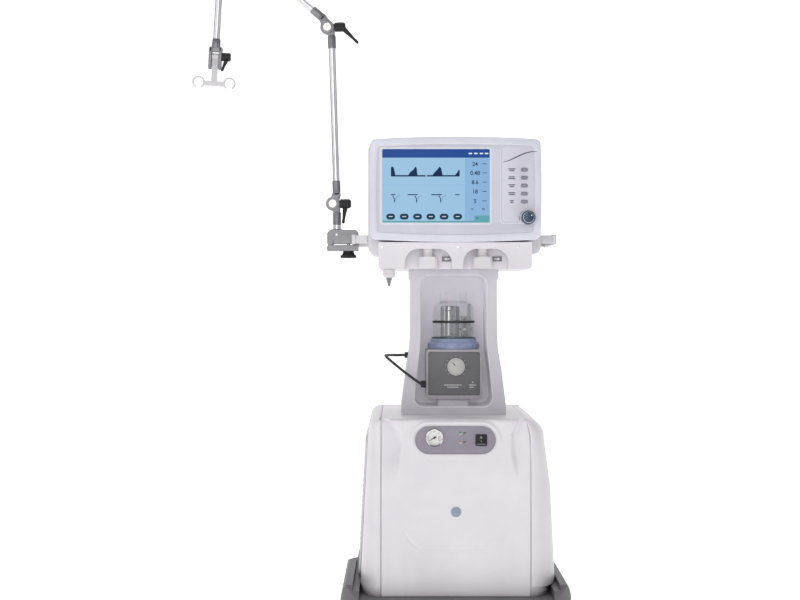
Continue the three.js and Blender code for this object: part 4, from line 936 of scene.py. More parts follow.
for x, wide in ((-150, 30), (-5, 22), (150, 34)):  # data and alarm sockets
    parts.append((plate("y", [rounded((x - wide / 2, x + wide / 2), (1150, 1163), 3, 5),
                              rounded((x - wide / 2 + 3, x + wide / 2 - 3), (1152.6, 1160.4), 1.5, 4)],
                        (119.2, 121.4), 0.6), brushed_steel))
    parts.append((brick((x - wide / 2 + 2, x + wide / 2 - 2), (119.2, 120), (1152, 1161), 0.3), black_abs))
for x in (-206, 0, 206):
    for z in (1066, 1319):
        parts.append((turned("y", [(0, 119.2), (0, 121.6), (3, 121.4), (4.2, 120.2), (4.2, 119.2)], (x, z),
                             20),
                      brushed_steel))
piece("control_unit_case", parts, "machine", ["main_chassis"])

# ------------------------------------------------------------------------------------------- bezel
# The front bezel is a deep ABS moulding with slightly bowed edges. A raised frame line runs round
# it, and it holds the display behind its window and the keypad in a shallow pocket.

bezel_abs = moulded("cool_white_abs_bezel", "#dedfe9", "#d2d3df", (0.32, 0.42), 1.6, 0.02)
lilac_abs = moulded("lilac_grey_abs_inner_panel", "#d0cfda", "#c5c4d1", (0.34, 0.46), 1.6, 0.02)

BEZEL_Y = (-214, -150)
BEZEL_HALF = 218
BEZEL_LOW, BEZEL_HIGH = 1079, 1345
BOW = 7


def bowed(inset, r, steps=14):
    """The bezel's outline, drawn in by inset. Its top, bottom and sides all bow outwards a little."""
    half, low, high = BEZEL_HALF - inset, BEZEL_LOW + inset, BEZEL_HIGH - inset
    middle, tall = (low + high) / 2, (high - low) / 2

    def bend(x, z):
        flat = (x / half) ** 2
        tight = ((z - middle) / tall) ** 2
        rise = BOW * (1 - flat) if abs(z - middle) > tall - r else 0
        spread = 3 * (1 - tight) if abs(x) > half - r else 0
        return x + math.copysign(spread, x), z + math.copysign(rise, z - middle)

    loop = []
    box = rounded((3 - half, half - 3), (low + BOW, high - BOW), r, 8)
    for (x0, z0), (x1, z1) in zip(box, box[1:] + box[:1]):
        long = math.hypot(x1 - x0, z1 - z0) > 40
        count = steps if long else 1
        loop += [bend(x0 + (x1 - x0) * i / count, z0 + (z1 - z0) * i / count) for i in range(count)]
    return loop


SCREEN_X = (-184.8, 86.8)
SCREEN_Z = (1127.7, 1313.5)
screen_window = rounded(SCREEN_X, SCREEN_Z, 3, 5)
pocket = rounded((116.6, 210.4), (1128.6, 1322.4), 7, 6)
parts = [
    (plate("y", [bowed(0, 14), bowed(19, 8)], BEZEL_Y, 3.0), bezel_abs),
    (plate("y", [bowed(18.4, 8), screen_window], (-212.6, -206), 1.0), lilac_abs),
    (plate("y", [rounded((SCREEN_X[0] - 7, SCREEN_X[1] + 7), (SCREEN_Z[0] - 6, SCREEN_Z[1] + 6), 8, 6),
                 screen_window], (-213.4, -208), 0.8), bezel_abs),
    (plate("y", [rounded((113, 213.2), (1125, 1326), 9, 6), pocket], (-213.6, -210), 0.8), bezel_abs)]
piece("bezel", parts, "machine", ["front_bezel"], crease=40)

# ------------------------------------------------------------------------------------------ display
# A backlit liquid crystal display behind a bonded cover. It shows a title bar, pressure and flow
# against time, a column of readings and a row of touch keys, all plain and without words.

GLASS_Y = -207.6


def backlit(name, code, power):
    """A field of lit display: the colour glows evenly, under a cover with a soft gloss."""
    light = linear(code)
    material, shader = start_finish(name, {
        "Emission Color": light, "Emission Strength": power, "Specular IOR Level": 0.06})
    mottle(material, shader, "#0e1013", "#08090b", 60, (0.25, 0.35))
    return material


sky = backlit("display_sky_blue", "#a3cdec", 0.9)
side_blue = backlit("display_mid_blue", "#8cb8de", 0.95)
title_blue = backlit("display_title_blue", "#27509a", 0.9)
navy = backlit("display_navy", "#12305a", 0.8)
teal = backlit("display_teal", "#66aeb8", 0.9)
key_blue = backlit("display_key_blue", "#214863", 0.7)
display_white = backlit("display_white", "#e9f2fa", 0.9)


def tile(x0, x1, z0, z1, layer):
    """A flat field of the display, on a layer counted up from the glass."""
    y = GLASS_Y - 0.12 * layer
    return plate("y", [rounded((x0, x1), (z0, z1), min(1.2, (z1 - z0) / 2.2, (x1 - x0) / 2.2), 3)],
                 (y - 0.1, y + 0.02), 0.02)


def trace(points, width, layer):
    """A drawn line of the display."""
    y = GLASS_Y - 0.12 * layer
    left, right = [], []
    for i, (x, z) in enumerate(points):
        (xa, za), (xb, zb) = points[max(i - 1, 0)], points[min(i + 1, len(points) - 1)]
        length = math.hypot(xb - xa, zb - za) or 1
        nx, nz = -(zb - za) / length * width / 2, (xb - xa) / length * width / 2
        left.append((x + nx, z + nz))
        right.append((x - nx, z - nz))
    loop = right + left[::-1]
    return prism("y", loop, (y - 0.1, y))


def reading(text, x, z, height, layer):
    """A number on the display."""
    letters = bpy.data.curves.new("shape", "FONT")
    letters.body = text
    letters.size = height / 0.73
    letters.align_x = "CENTER"
    letters.extrude = 0.05
    letters.offset = height * 0.02
    made = bpy.data.objects.new("shape", letters)
    bpy.context.collection.objects.link(made)
    graph = bpy.context.evaluated_depsgraph_get()
    mesh = bpy.data.meshes.new_from_object(made.evaluated_get(graph), depsgraph=graph)
    bpy.data.objects.remove(made)
    for corner in mesh.vertices:
        corner.co = (corner.co.x + x, GLASS_Y - 0.12 * layer - corner.co.z, corner.co.y + z - height / 2)
    return tidied(mesh)


(x0, x1), (z0, z1) = SCREEN_X, SCREEN_Z
COLUMN_X = 24  # the readings' column starts here
parts = [
    (brick((x0 - 6, x1 + 6), (GLASS_Y, GLASS_Y + 14), (z0 - 6, z1 + 6), 0.8), black_abs),
    (tile(x0, COLUMN_X, z0, z1, 0), sky),
    (tile(COLUMN_X, x1, z0, z1, 0), side_blue),
    (tile(x0, x1, 1292, z1, 1), title_blue),
    (tile(x0, x1, z0, 1132.4, 1), teal),
    (tile(48, x1, 1130, 1146, 2), teal),
    (tile(x0, COLUMN_X, 1222.4, 1223.2, 1), side_blue)]
for x in (38, 52, 66, 79):  # marks at the title bar's right
    parts.append((tile(x - 4.5, x + 4.5, 1301, 1304.5, 2), display_white))
for x in (-163.6, -129.4, -95.6, -62, -28.5, 6):
    parts.append((plate("y", [stadium((x, 1143), 22.5, 15, 10)], (GLASS_Y - 0.34, GLASS_Y), 0.05), key_blue))
    parts.append((tile(x - 5, x + 5, 1142.2, 1144, 3), display_white))
PRESSURE_Z, FLOW_Z = 1246.8, 1197.5
for start, stop in ((-163, -75.5), (-72, 11)):  # the pressure trace's foot, with a gap where it renews
    parts.append((tile(start, stop, PRESSURE_Z - 2.4, PRESSURE_Z + 1.2, 1), navy))
for hill in ([(-163, 0), (-163, 20), (-160, 24), (-156, 20), (-153, 8), (-151.4, 0)],
             [(-120, 0), (-114, 9), (-106, 15), (-101, 23), (-98, 20), (-95.6, 0)],
             [(-59, 0), (-52, 9), (-45, 16), (-40, 23), (-36, 19), (-31.8, 0)],
             [(-2, 0), (4, 7), (9, 15), (11, 15), (11, 0)]):  # breaths of rising pressure
    parts.append((prism("y", [(x, PRESSURE_Z + h) for x, h in hill], (GLASS_Y - 0.24, GLASS_Y - 0.12)), navy))
for start, stop in ((-163, -151.5), (-121, -95.5), (-61, -34.5)):  # flow out, and the drop after it
    parts.append((tile(start, stop, FLOW_Z - 0.4, FLOW_Z + 2.2, 1), navy))
    parts.append((trace([(stop - 7, FLOW_Z - 2), (stop - 3.4, FLOW_Z - 8), (stop - 2.4, FLOW_Z - 19)], 2.2,
                        2), navy))
    parts.append((trace([(stop - 1.4, FLOW_Z - 15), (stop + 3, FLOW_Z - 4), (stop + 12, FLOW_Z - 1)], 0.8,
                        2), navy))
parts.append((tile(-1, 11, FLOW_Z - 0.4, FLOW_Z + 2, 1), navy))
for text, z in (("24", 1276.5), ("0.48", 1253.6), ("8.6", 1230.3), ("18", 1206.7), ("5", 1182.7)):
    parts.append((reading(text, 50, z, 10.5, 2), navy))
    parts.append((tile(68, 80, z - 0.8, z + 0.8, 2), navy))
for x, z in ((42, 1162.4), (71, 1162.4), (56, 1139.5)):
    parts.append((reading("12" if x < 50 else "40" if x > 60 else "21", x, z, 5.6, 3), navy))
piece("display", parts, "machine", ["display_module"], crease=40)

# ------------------------------------------------------------------------------------------- keypad
# A printed polyester membrane panel, let into the bezel, has five oval keys of grey silicone, each
# with a plain symbol beside it, and a printed curve across its top.

# Printed polyester: flat, even and slightly glossy.
membrane = moulded("lilac_printed_polyester", "#d4d2de", "#cbc9d6", (0.28, 0.38), 0.9, 0.015)
key_silicone = moulded("grey_silicone_key", "#90909f", "#828291", (0.46, 0.6), 0.7, 0.02)
symbol_ink = moulded("slate_symbol_ink", "#5d6273", "#525767", (0.4, 0.5), 0.6, 0.004)

PAD_FRONT = -213.9
KEY_X = 174.3
KEY_TOP, KEY_PITCH = 1261, 20.1
KNOB_X, KNOB_Z = 183, 1139.5
key_zs = [KEY_TOP - KEY_PITCH * i for i in range(5)]
holes = [stadium((KEY_X, z), 18, 9, 8) for z in key_zs]
pad = rounded((117.4, 209.6), (1129.4, 1321.6), 6, 6)
parts = [(plate("y", [pad, *holes], (PAD_FRONT, -211.6), 0.7), membrane)]


def printed(loop):
    """A symbol printed on the keypad."""
    return prism("y", loop, (PAD_FRONT - 0.12, PAD_FRONT + 0.3))


sweep = [(120 + 86 * i / 20, 1281 + 26 * smooth(i / 20) + 5 * math.sin(math.pi * i / 20)) for i in range(21)]
lower_edge = [(x, z - 1.2 - 2.4 * math.sin(math.pi * i / 20)) for i, (x, z) in enumerate(sweep)]
parts.append((printed(lower_edge + sweep[::-1]), symbol_ink))
LEGENDS = [(18, 13), (15, 17), (17, 11), (18, 15), (10, 7)]  # lengths of each key's two plain lines
for z, lines in zip(key_zs, LEGENDS):
    for row, wide in enumerate(lines):
        parts.append((printed(rounded((142.5 - wide / 2, 142.5 + wide / 2),
                                      (z + 0.6 - row * 4.4, z + 3.4 - row * 4.4),
                                      0.8, 3)), symbol_ink))
for turn in range(2):  # two arrows round the knob
    bow_in = arc((KNOB_X, KNOB_Z), (21, 21), 130 + turn * 40, 158 + turn * 40, 8)
    bow_out = arc((KNOB_X, KNOB_Z), (22.4, 22.4), 158 + turn * 40, 130 + turn * 40, 8)
    parts.append((printed(bow_in + bow_out), symbol_ink))
piece("keypad", parts, "machine", ["keypad_panel"])

for number, z in enumerate(key_zs, 1):
    cap = plate("y", [stadium((KEY_X, z), 17, 8, 10)], (-216.2, -205), 1.3)
    core_pin = plate("y", [stadium((KEY_X, z), 15.4, 6.4, 10)], (-216.5, -214), 0.4)
    piece(f"membrane_key_{number}", [(cap, key_silicone), (core_pin, key_silicone)], f"key_{number}",
          [f"key_{number}"])

# The rotary encoder has a blue-black ABS knob, fluted for the fingers, on a ground steel shaft.
blue_knob_abs = moulded("blue_black_abs_knob", "#284660", "#1f394f", (0.24, 0.34), 1.2, 0.02,
                        {"Coat Weight": 0.2})
cap_ring = [(0, -26), (11, -26), (13.4, -25.4), (15.4, -24), (16.2, -22), (16.2, -18), (0, -18)]
piece("encoder_knob_cap", [
    (plate("y", [fluted(17.8, 0.8, 26)], (-20, -3.3), 1.0), blue_knob_abs),
    (turned("y", cap_ring, (0, 0), 64), blue_knob_abs),
    (turned("y", [(13.2, -25.9), (13.9, -25.7), (13.9, -25), (13.2, -25)], (0, 0), 64), brushed_steel),
    (turned("y", [(0, -26.4), (1.4, -26.3), (1.8, -25.8), (1.8, -25.4), (0, -25.4)], (7.4, 5), 20),
     white_print),
], "encoder_knob", ["encoder_knob"], Matrix.Translation((KNOB_X, -214, KNOB_Z)))
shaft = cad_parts["encoder_shaft"]
shaft.data.materials.clear()
shaft.data.materials.append(brushed_steel)

# ------------------------------------------------------------------------------------------ manifold
# The valve block under the control unit is one thick ABS moulding. Two round-topped bays in its
# front make room for the port turrets, and plain arrows beside them show which way the gas flows.

manifold_abs = moulded("white_abs_manifold", "#e6e2e8", "#dcd8df", (0.32, 0.44), 1.6, 0.02)
bay_abs = moulded("pinkish_white_abs_bay", "#dcd3da", "#d0c7cf", (0.4, 0.5), 1.6, 0.02)

symbol_plate = moulded("slate_printed_label", "#85828c", "#7b7883", (0.4, 0.5), 0.8, 0.01)

MANIFOLD_Z = 1011
section = [(-200, MANIFOLD_Z), (110, MANIFOLD_Z), (110, 1050), (-150.4, 1050), (-150.4, 1078.6),
           (-200, 1078.6)]
outline = [*arc((187, 1019), (8, 8), -90, 0, 8), (195, 1100), (-195, 1100),
           *arc((-187, 1019), (8, 8), 180, 270, 8)]


def bay(left, right):
    return prism("y", [(left, 1010), (right, 1010), *arc((right - 36, 1026), (36, 36), 0, 90, 12),
                       *arc((left + 36, 1026), (36, 36), 90, 180, 12)], (-201, -160))


block = combine("INTERSECT", prism("x", section, (-195, 195)), prism("y", outline, (-200, 110)))
block = combine("DIFFERENCE", block, bay(-128, -8), bay(20.5, 135))
parts = [(block, manifold_abs)]
for centre, out in ((-20, -1), (109, 1)):
    parts.append((brick((centre - 12, centre + 12), (-162, -159), (1031, 1043.5), 0.8, 2), symbol_plate))
    arrow = [(centre + out * a, 1037 + b) for a, b in ((-7, -1.2), (1, -1.2), (1, -4), (7, 0), (1, 4),
                                                       (1, 1.2), (-7, 1.2))]
    parts.append((prism("y", arrow, (-162.2, -161)), white_print))
for x in (-186, 8, 160):  # screws under the bezel
    parts.append((turned("y", [(0, -199), (0, -201.4), (2.8, -201.2), (3.8, -200.2), (3.8, -199)],
                         (x, 1066), 20),
                  brushed_steel))
piece("valve_block", parts, "machine", ["manifold_block"], edge=1.5)

# Each port turret is a polysulphone cup whose socket takes a breathing tube from below.
port_resin = moulded("off_white_polysulphone_port", "#e2dde1", "#d6d1d6", (0.28, 0.4), 1.4, 0.02)
for name, x in (("inspiratory", 70), ("expiratory", -69)):
    cup = turned("z", [(0, 1012), (24, 1012), (25.4, 1012.6), (26, 1014), (26, 1039), (25, 1041), (20, 1042),
                       (14, 1043), (12, 1045), (12, 1066), (0, 1066)], (0, 0), 72)
    cup = combine("INTERSECT", cup, brick((-40, 40), (-18, 16.5), (1005, 1075), 0.5))
    cup = combine("DIFFERENCE", cup, bar("z", 11, (1005, 1037)))
    collar = turned("z", [(11.2, 1012.2), (13.8, 1012.2), (14.2, 1011.6), (13.8, 1011.1), (11.6, 1011.1)],
                    (0, 0), 48)
    ring = turned("z", [(12, 1050), (13.2, 1050.4), (13.2, 1052.4), (12, 1052.8), (11, 1052.8), (11, 1050)],
                  (0, 0), 48)
    piece(f"{name}_port", [(cup, port_resin), (collar, bay_abs), (ring, bay_abs)], "machine",
          [f"{name}_turret"], Matrix.Translation((x, -178, 0)), edge=0.6)

# The water trap is a small clear cup with a dark drain cone, pushed into the block's underside.
TRAP = (-168, -172)
smoke_cone = moulded("smoke_grey_drain_cone", "#86868a", "#747478", (0.3, 0.4), 1.0, 0.02)
piece("water_trap_cup", [
    (turned("z", [(0, 989), (12.4, 989), (14.4, 991), (15, 994.6), (15, 1009.4), (14, 1010.4), (0, 1010.4)],
            TRAP, 48), port_resin),
    (turned("z", [(15, 996), (15.8, 996.6), (15.8, 999), (15, 999.6), (14, 999.6), (14, 996)], TRAP, 48),
     port_resin),
    (turned("z", [(0, 966.2), (1.4, 966.4), (2.4, 969), (8, 988), (8.4, 989.6), (0, 989.6)], TRAP, 40),
     smoke_cone),
    (bar("z", 8, (1009, 1024.4), TRAP), port_resin),
], "machine", ["water_trap"])

# ------------------------------------------------------------------------------------ equipment rails
# A flat rail of bead-blasted, clear-anodised aluminium on each side of the case takes clamps for
# accessories. It stands off on two blocks of the same finish, with a countersunk screw through each.

# Die-cast zinc alloy: shot-blasted, then clear-lacquered, so it is matt with small sparkles.
cast_alloy, shader = start_finish("shot_blasted_die_cast_alloy", {"Metallic": 0.9})
grain(cast_alloy, shader, mottle(cast_alloy, shader, "#929194", "#807f83", 40, (0.36, 0.5)), 0.9, 0.05)

# Bead-blasted aluminium: matt and nearly white, with faint sparkle and handling marks.
blasted, shader = start_finish("bead_blasted_anodised_aluminium", {"Metallic": 0.35})
grain(blasted, shader, mottle(blasted, shader, "#dcdbde", "#cbcace", 60, (0.4, 0.55)), 0.8, 0.03)

for side, sign in (("left", -1), ("right", 1)):
    def across(a, b, sign=sign):
        return (a, b) if sign > 0 else (-b, -a)

    parts = [(brick(across(255, 265), (-125, 115), (1076.5, 1101.5), 1.2), blasted)]
    for y in (-116, 106):
        parts.append((brick(across(222.4, 256), (y - 9, y + 9), (1078.5, 1099.5), 1.5, 3), blasted))
        screw = [(0, sign * 264.2), (4.6, sign * 265), (2.2, sign * 265), (2.2, sign * 264), (0, sign * 263)]
        parts.append((turned("x", screw, (y, 1089), 24), nickel))
    piece(f"equipment_rail_{side}", parts, "machine", [f"rail_{side}"])

# ---------------------------------------------------------------------------------------- rail clamp
# The arm's clamp is a die-cast alloy body that hooks over the rail, with a hinged jaw below. A ribbed
# black knob on a threaded stud draws the jaw up, and the arm's steel stub turns in the body's bore.

CLAMP_LEFT, CLAMP_Y, CLAMP_HALF, CLAMP_TOP = -330, -83, 21, 1115
WIDE = (CLAMP_Y - CLAMP_HALF, CLAMP_Y + CLAMP_HALF)
HINGE = (-322, 1082)
KNOB = (-275, -83)
STUB = (-305, -83)

body = [(CLAMP_LEFT, 1090), (-313, 1090), (-313, 1079), (-265.4, 1079), (-265.4, 1101.9), (-254.6, 1101.9),
        (-254.6, 1096), (-249, 1096), (-249, 1109), (-255, CLAMP_TOP), (CLAMP_LEFT + 8, CLAMP_TOP),
        (CLAMP_LEFT, CLAMP_TOP - 8)]
hook = combine("DIFFERENCE", prism("y", body, WIDE), bar("z", 4.4, (1070, 1104), KNOB, 0.2),
               bar("z", 10.4, (1085, 1120), STUB, 0.2))
parts = [(hook, cast_alloy)]
for y0, y1 in ((WIDE[0], CLAMP_Y - 9.4), (CLAMP_Y + 9.4, WIDE[1])):  # the hinge's two outer ears
    ear = [(-313, 1091), (CLAMP_LEFT, 1091), *arc((-322, HINGE[1]), (8, 7.6), 180, 300, 8), (-313, 1079)]
    parts.append((plate("y", [ear], (y0, y1), 0.8), cast_alloy))
parts += [(bar("y", 2.5, (WIDE[0] + 1, WIDE[1] - 1), HINGE, 0.4, 20), nickel),
          (turned("z", [(10.6, 1114.6), (14, 1114.8), (14.6, 1116), (14, 1117), (10.6, 1117)], STUB, 48),
           cast_alloy),
          (turned("y", [(0, WIDE[0] - 2.4), (3, WIDE[0] - 2.2), (4, WIDE[0] - 1), (4, WIDE[0] + 1),
                        (0, WIDE[0] + 1)], (-305, 1102), 24), nickel)]
piece("rail_clamp_body", parts, "rail_clamp", ["rail_clamp"], edge=0.9)

jaw_place = Matrix.Translation((HINGE[0], CLAMP_Y, HINGE[1]))
reach = -249 - HINGE[0]
jaw = [(-8, -22), (reach, -22), (reach, -1), (reach - 5.6, -1), (reach - 5.6, -6.5), (6, -6.5), (-4, -6.5),
       (-8, -10)]
slot = stadium((-275 - HINGE[0] + 2, 0), 13.4, 9.4, 8)
lower_jaw = combine("DIFFERENCE", prism("y", jaw, (-CLAMP_HALF, CLAMP_HALF)), prism("z", slot, (-30, 5)))
piece("clamp_jaw_casting", [
    (lower_jaw, cast_alloy),
    (plate("y", [[(-6, -8), (6, -8), *arc((0, 0), (6, 6), 0, 180, 12)],
                 arc((0, 0), (2.9, 2.9), 0, 337.5, 15)], (-9, 9), 0.6), cast_alloy),
], "clamp_jaw", ["clamp_jaw"], jaw_place, edge=0.9)

grip = plate("z", [[(KNOB[0] + a, KNOB[1] + b) for a, b in fluted(21, 2.2, 12, 8)]], (1042, 1049.6), 1.8)
piece("clamp_knob_star", [
    (grip, black_abs),
    (turned("z", [(0, 1046), (17.5, 1049), (15, 1055), (14, 1059.4), (0, 1059.4)], KNOB, 48), black_abs),
    (turned("z", [(0, 1041.4), (8, 1041.6), (9, 1042.6), (0, 1042.6)], KNOB, 40), black_abs),
    (bar("z", 4, (1058, 1094), KNOB, 0.8, 24), nickel),
], "clamp_knob", ["clamp_knob"])

# --------------------------------------------------------------------------------------- jointed arm
# The arm is three links of satin-anodised aluminium tube with die-cast knuckles pressed into their
# ends. Each knuckle is an eye held between the cheeks of a fork on a hollow pin, and a black lever
# with a threaded stud locks it.

# Satin-anodised aluminium tube: pale and even, drawn lengthways.
anodised, shader = start_finish("satin_anodised_aluminium_tube", {"Metallic": 1.0})
grain(anodised, shader, mottle(anodised, shader, "#e6e5e8", "#d6d5d9", 90, (0.26, 0.38)), 0.7, 0.01,
      (1, 1, 0.03))

OFFSET, PIVOT_Z = 11, 1184
POST, UPPER, LOWER = 462, 346, 301
POST_ANGLE, UPPER_ANGLE, LOWER_ANGLE = -1.8, -49.7, 183.4


def turn_y(angle):
    return Matrix.Rotation(math.radians(angle), 4, "Y")


shoulder = Matrix.Translation((STUB[0] - OFFSET, STUB[1], PIVOT_Z))
post_place = shoulder @ turn_y(POST_ANGLE)
post_top = post_place @ Matrix.Translation((0, 0, POST))
upper_place = post_top @ turn_y(UPPER_ANGLE - POST_ANGLE)
apex = upper_place @ Matrix.Translation((0, 0, UPPER))
lower_place = apex @ turn_y(LOWER_ANGLE - UPPER_ANGLE)
grip_place = lower_place @ Matrix.Translation((OFFSET, 0, LOWER))


def moved(shape, x, y, z):
    shape.data.transform(Matrix.Translation((x, y, z)))
    return shape


def eye_end(far):
    """The eye at a link's end, with the lug for the lever's stud and the sleeve over the tube."""
    eye = plate("y", [arc((0, 0), (18, 18), 0, 352.5, 47), arc((0, 0), (8.6, 8.6), 0, 345, 23)], (-7, 7), 1.2)
    lug = plate("x", [rounded((-7, 7), (-9, 9), 4, 6)], (8, 18.4), 0.8)
    neck = plate("y", [[(4, -26), (18, -26), (20, -22), (18, -4), (4, -4), (-6, -12)]], (-7, 7), 1.8)
    sleeve = turned("z", [(0, -56), (9.4, -56), (10.5, -54.8), (10.5, -25), (9, -21), (0, -20)],
                    (OFFSET, 0), 48)
    band = turned("z", [(10.5, -51), (10.9, -50.6), (10.9, -49.4), (10.5, -49), (9, -49), (9, -51)],
                  (OFFSET, 0), 48)
    return [(moved(shape, 0, 0, far), cast_alloy) for shape in (eye, lug, neck, sleeve, band)]


def fork_end():
    """The fork at a link's foot, with its two cheeks, hollow pin, bridge and sleeve."""
    cheek = [*arc((0, 0), (17, 17), 110, 360, 30), (17.3, 6), (17.9, 12), (21, 21), (21, 28), (1, 28),
             (-4, 17)]
    bore = arc((0, 0), (4.6, 4.6), 0, 345, 23)
    parts = [(plate("y", [cheek, bore], (7.4, 11), 0.9), cast_alloy),
             (plate("y", [cheek, bore], (-11, -7.4), 0.9), cast_alloy),
             (turned("y", [(4.6, -10.6), (8, -10.6), (8, 10.6), (4.6, 10.6)], (0, 0), 40), nickel),
             (turned("y", [(4.6, -11.8), (9.6, -11.8), (10.6, -11), (10.6, -10), (4.6, -10)], (0, 0), 40),
              nickel),
             (turned("y", [(4.6, 10), (10.6, 10), (10.6, 11), (9.6, 11.8), (4.6, 11.8)], (0, 0), 40), nickel),
             (brick((1, 21), (-11, 11), (22, 31), 1.4, 4), cast_alloy),
             (turned("z", [(0, 28), (9.4, 29), (10.5, 32), (10.5, 58.8), (9.4, 60), (0, 60)], (OFFSET, 0),
                     48),
              cast_alloy)]
    return parts


def tube(low, high):
    return [(turned("z", [(0, low), (9, low), (9, high), (0, high)], (OFFSET, 0), 56), anodised)]


stub_parts = eye_end(0)
stub_parts.append((turned("z", [(0, 1085.4 - PIVOT_Z), (9, 1085.6 - PIVOT_Z), (10, 1087 - PIVOT_Z),
                                (10, -54), (0, -54)],
                          (OFFSET, 0), 56), anodised))
piece("arm_stub_post", stub_parts, "arm_stub", ["arm_stub"], shoulder)
piece("arm_post_link", fork_end() + tube(56, POST - 50) + eye_end(POST), "arm_post",
      ["arm_post"], post_place)
piece("arm_upper_link_tube", fork_end() + tube(56, UPPER - 50) + eye_end(UPPER), "arm_upper_link",
      ["arm_upper_link"], upper_place)

CLEVIS_INNER, CLEVIS_OUTER, CLEVIS_HALF = 9.3, 17, 10
clevis_cheek = [(-CLEVIS_HALF, -22), (CLEVIS_HALF, -22), *arc((0, 24), (10, 10), 0, 180, 16)]
pin_hole = arc((0, 0), (3.3, 3.3), 0, 337.5, 15)
clevis = [plate("x", [clevis_cheek, pin_hole], (CLEVIS_INNER, CLEVIS_OUTER), 1.2),
          plate("x", [clevis_cheek, pin_hole], (-CLEVIS_OUTER, -CLEVIS_INNER), 1.2),
          brick((-CLEVIS_OUTER, CLEVIS_OUTER), (-10, 10), (-24, -12), 1.4, 3),
          turned("z", [(0, -46), (9.6, -46), (10.6, -44.6), (11.4, -26), (10, -22), (0, -22)], (0, 0), 48)]
piece("arm_lower_link_tube",
      fork_end() + tube(56, LOWER - 40) + [(moved(shape, OFFSET, 0, LOWER), cast_alloy) for shape in clevis],
      "arm_lower_link", ["arm_lower_link"], lower_place)

# ------------------------------------------------------------------------------------ locking levers
# Each lever is black glass-filled nylon moulded on a steel stud: a round hub with a chamfered cap
# and a tapering handle with a rounded end.


def handle(start, end, thick, thin):
    """A handle that tapers from start to end and swells again at its rounded tip."""
    a, b = Vector(start), Vector(end)
    long = (b - a).length
    profile = [(0, 0), (thick, 0), (thick * 0.92, long * 0.2), (thin * 0.95, long * 0.7),
               (thin * 1.05, long - thin * 1.4), (thin * 0.98, long - thin * 0.7),
               (thin * 0.6, long - thin * 0.16),
               (0, long)]
    shape = turned("z", profile, (0, 0), 28)
    shape.data.transform(Matrix.Translation(a) @ Vector((0, 0,
        1)).rotation_difference(b - a).to_matrix().to_4x4())
    return shape


def locking_lever(start, end):
    hub = turned("x", [(0, 19), (10.6, 19), (12.1, 20.6), (12.3, 42), (11.4, 44.6), (8.8, 47.4), (5, 48),
                       (4.4, 47), (0, 47)], (0, 0), 48)
    collar = turned("x", [(12.1, 31), (12.7, 31.6), (12.7, 33.4), (12.1, 34), (11, 34), (11, 31)], (0, 0), 48)
    return [(hub, black_abs), (collar, black_abs),
            (bar("x", 3.5, (9.5, 20), (0, 0), 0.5, 20), nickel),
            (turned("x", [(0, 46.6), (3, 46.8), (3, 47.4), (0, 47.6)], (0, 0), 24), nickel),
            (handle(start, end, 6.5, 3.8), black_abs)]


OUTWARD, INWARD = ((42, 0, -4), (80, 0, -44)), ((33, 0, -6), (27, 0, -52))
piece("lever_at_shoulder", locking_lever(*INWARD), "lever_lower", ["lever_lower"], shoulder)
piece("lever_at_elbow", locking_lever(*OUTWARD), "lever_upper", ["lever_upper"], post_top)
piece("lever_at_apex", locking_lever(*OUTWARD), "lever_apex", ["lever_apex"], apex)

swing = Matrix.Rotation(math.radians(30), 4, "X") @ Matrix.Translation((-31, 0, 4)) @ turn_y(12)
low, high = swing @ Vector((0, 0, 0)), swing @ Vector((0, 0, 44))
piece("lever_at_gripper", [
    (turned("x", [(0, -40), (8, -40), (10.4, -38.6), (11, -36), (11, -18.6), (10, -17.5), (0, -17.5)],
            (0, 0), 48),
     black_abs),
    (bar("x", 3, (-19, 16.5), (0, 0), 0.5, 24), nickel),
    (turned("x", [(0, -40.5), (3.4, -40.4), (3.4, -39.4), (0, -39.4)], (0, 0), 24), nickel),
    (handle(low, high, 6, 3.6), black_abs),
], "lever_gripper", ["lever_gripper"], grip_place)

# --------------------------------------------------------------------------------------- tube holder
# The tube holder is one acetal moulding: a knuckle in the clevis, a flat ribbed stem, a cross-bar and
# two sprung rings, open on one side, that the breathing tubes snap into.

acetal = moulded("white_acetal_moulding", "#d6d4d6", "#cccacc", (0.32, 0.42), 1.2, 0.015)
STEM, CROSS, RING_X, RING_OUT, RING_IN = 65, 12.5, 40.5, 16.5, 12
centre_z = STEM + CROSS / 2 - 2
parts = [
    (turned("x", [(3.4, -8.8), (7.4, -8.8), (8, -8.2), (8, 8.2), (7.4, 8.8), (3.4, 8.8)], (0, 0), 48),
     acetal),
    (plate("y", [[(-8.8, 5), (8.8, 5), (8.8, 20), (7.4, 40), (7.8, STEM + 2), (-7.8, STEM + 2), (-7.4, 40),
                  (-8.8, 20)]], (-4, 4), 1.2), acetal),
    (brick((-1.4, 1.4), (-5.4, 5.4), (9, STEM + 1), 0.5), acetal),
    (plate("y", [rounded((-26, 26), (STEM, STEM + CROSS), 2.5, 6)], (-4, 4), 1.2), acetal)]
for x in (-RING_X, RING_X):
    gap = 30
    ring = [*arc((x, centre_z), (RING_OUT, RING_OUT), 90 + gap, 450 - gap, 48),
            *arc((x, centre_z), (RING_IN, RING_IN), 450 - gap, 90 + gap, 48)]
    parts.append((plate("y", [ring], (-4, 4), 1.3), acetal))
piece("tube_holder_moulding", parts, "tube_holder", ["tube_holder"], grip_place)

# ------------------------------------------------------------------------------------------- studio
# A pale seamless floor that curves up behind, lit by two large soft panels and a soft overhead one.

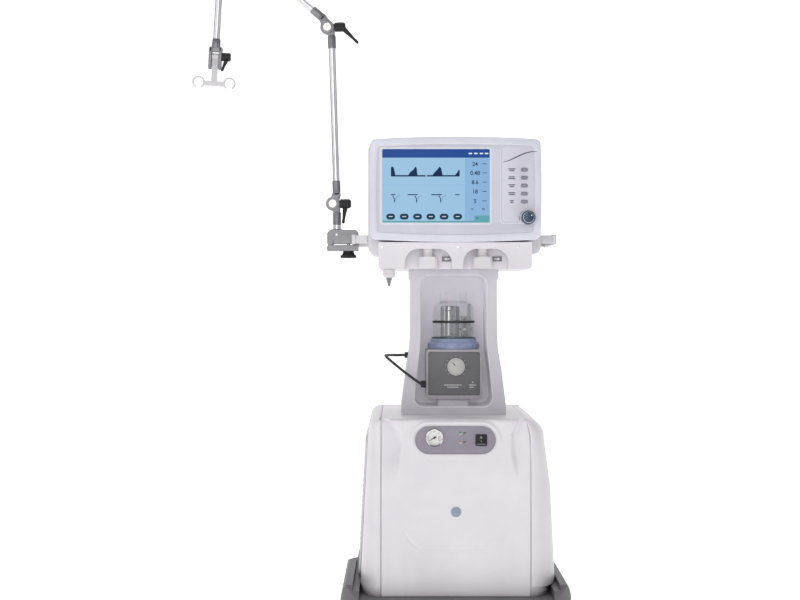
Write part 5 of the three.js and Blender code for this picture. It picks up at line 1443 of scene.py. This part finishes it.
paper, shader = start_finish("matt_white_paper", {
    "Specular IOR Level": 0.1, "Emission Color": linear("#ffffff"), "Emission Strength": 0.62})
grain(paper, shader, mottle(paper, shader, "#ffffff", "#fbfbfb", 900, (0.85, 0.95)), 4, 0.02)
FLOOR_FRONT, BEND_START, BEND, WALL_TOP, HALF_WIDTH = -9.5, 8.6, 1.6, 9.0, 12.0  # metres
bend_angles = [math.radians(6 * i) for i in range(1, 16)]
sweep_line = [(FLOOR_FRONT, 0.0), (BEND_START, 0.0)]
sweep_line += [(BEND_START + BEND * math.sin(t), BEND - BEND * math.cos(t)) for t in bend_angles]
sweep_line.append((BEND_START + BEND, WALL_TOP))
mesh = bpy.data.meshes.new("studio_floor")
mesh.from_pydata([(x, y, z) for y, z in sweep_line for x in (-HALF_WIDTH, HALF_WIDTH)], [],
                 [(2 * i, 2 * i + 1, 2 * i + 3, 2 * i + 2) for i in range(len(sweep_line) - 1)])
for face in mesh.polygons:
    face.use_smooth = True
mesh.materials.append(paper)
floor = bpy.data.objects.new("studio_floor", mesh)
bpy.context.collection.objects.link(floor)

PANELS = [("front", (-0.5, -4.2, 1.9), 2.2, 38), ("left", (-3.0, -1.6, 2.4), 2.2, 19),
          ("right", (3.0, -1.4, 2.0), 2.2, 9), ("above", (0.0, 0.2, 3.6), 2.6, 27)]
for name, at, size, power in PANELS:
    light = bpy.data.lights.new(f"softbox_{name}", "AREA")
    light.shape = "SQUARE"
    light.size = size
    light.energy = power
    softbox = bpy.data.objects.new(f"softbox_{name}", light)
    softbox.location = at
    softbox.rotation_euler = (Vector((0, 0, 0.95)) - Vector(at)).to_track_quat("-Z", "Y").to_euler()
    bpy.context.collection.objects.link(softbox)

room = bpy.data.worlds.new("studio_room")
room.use_nodes = True
room.node_tree.nodes["Background"].inputs["Color"].default_value = (1, 1, 1, 1)
room.node_tree.nodes["Background"].inputs["Strength"].default_value = 0.27
bpy.context.scene.world = room
bpy.context.scene.view_settings.view_transform = "Standard"
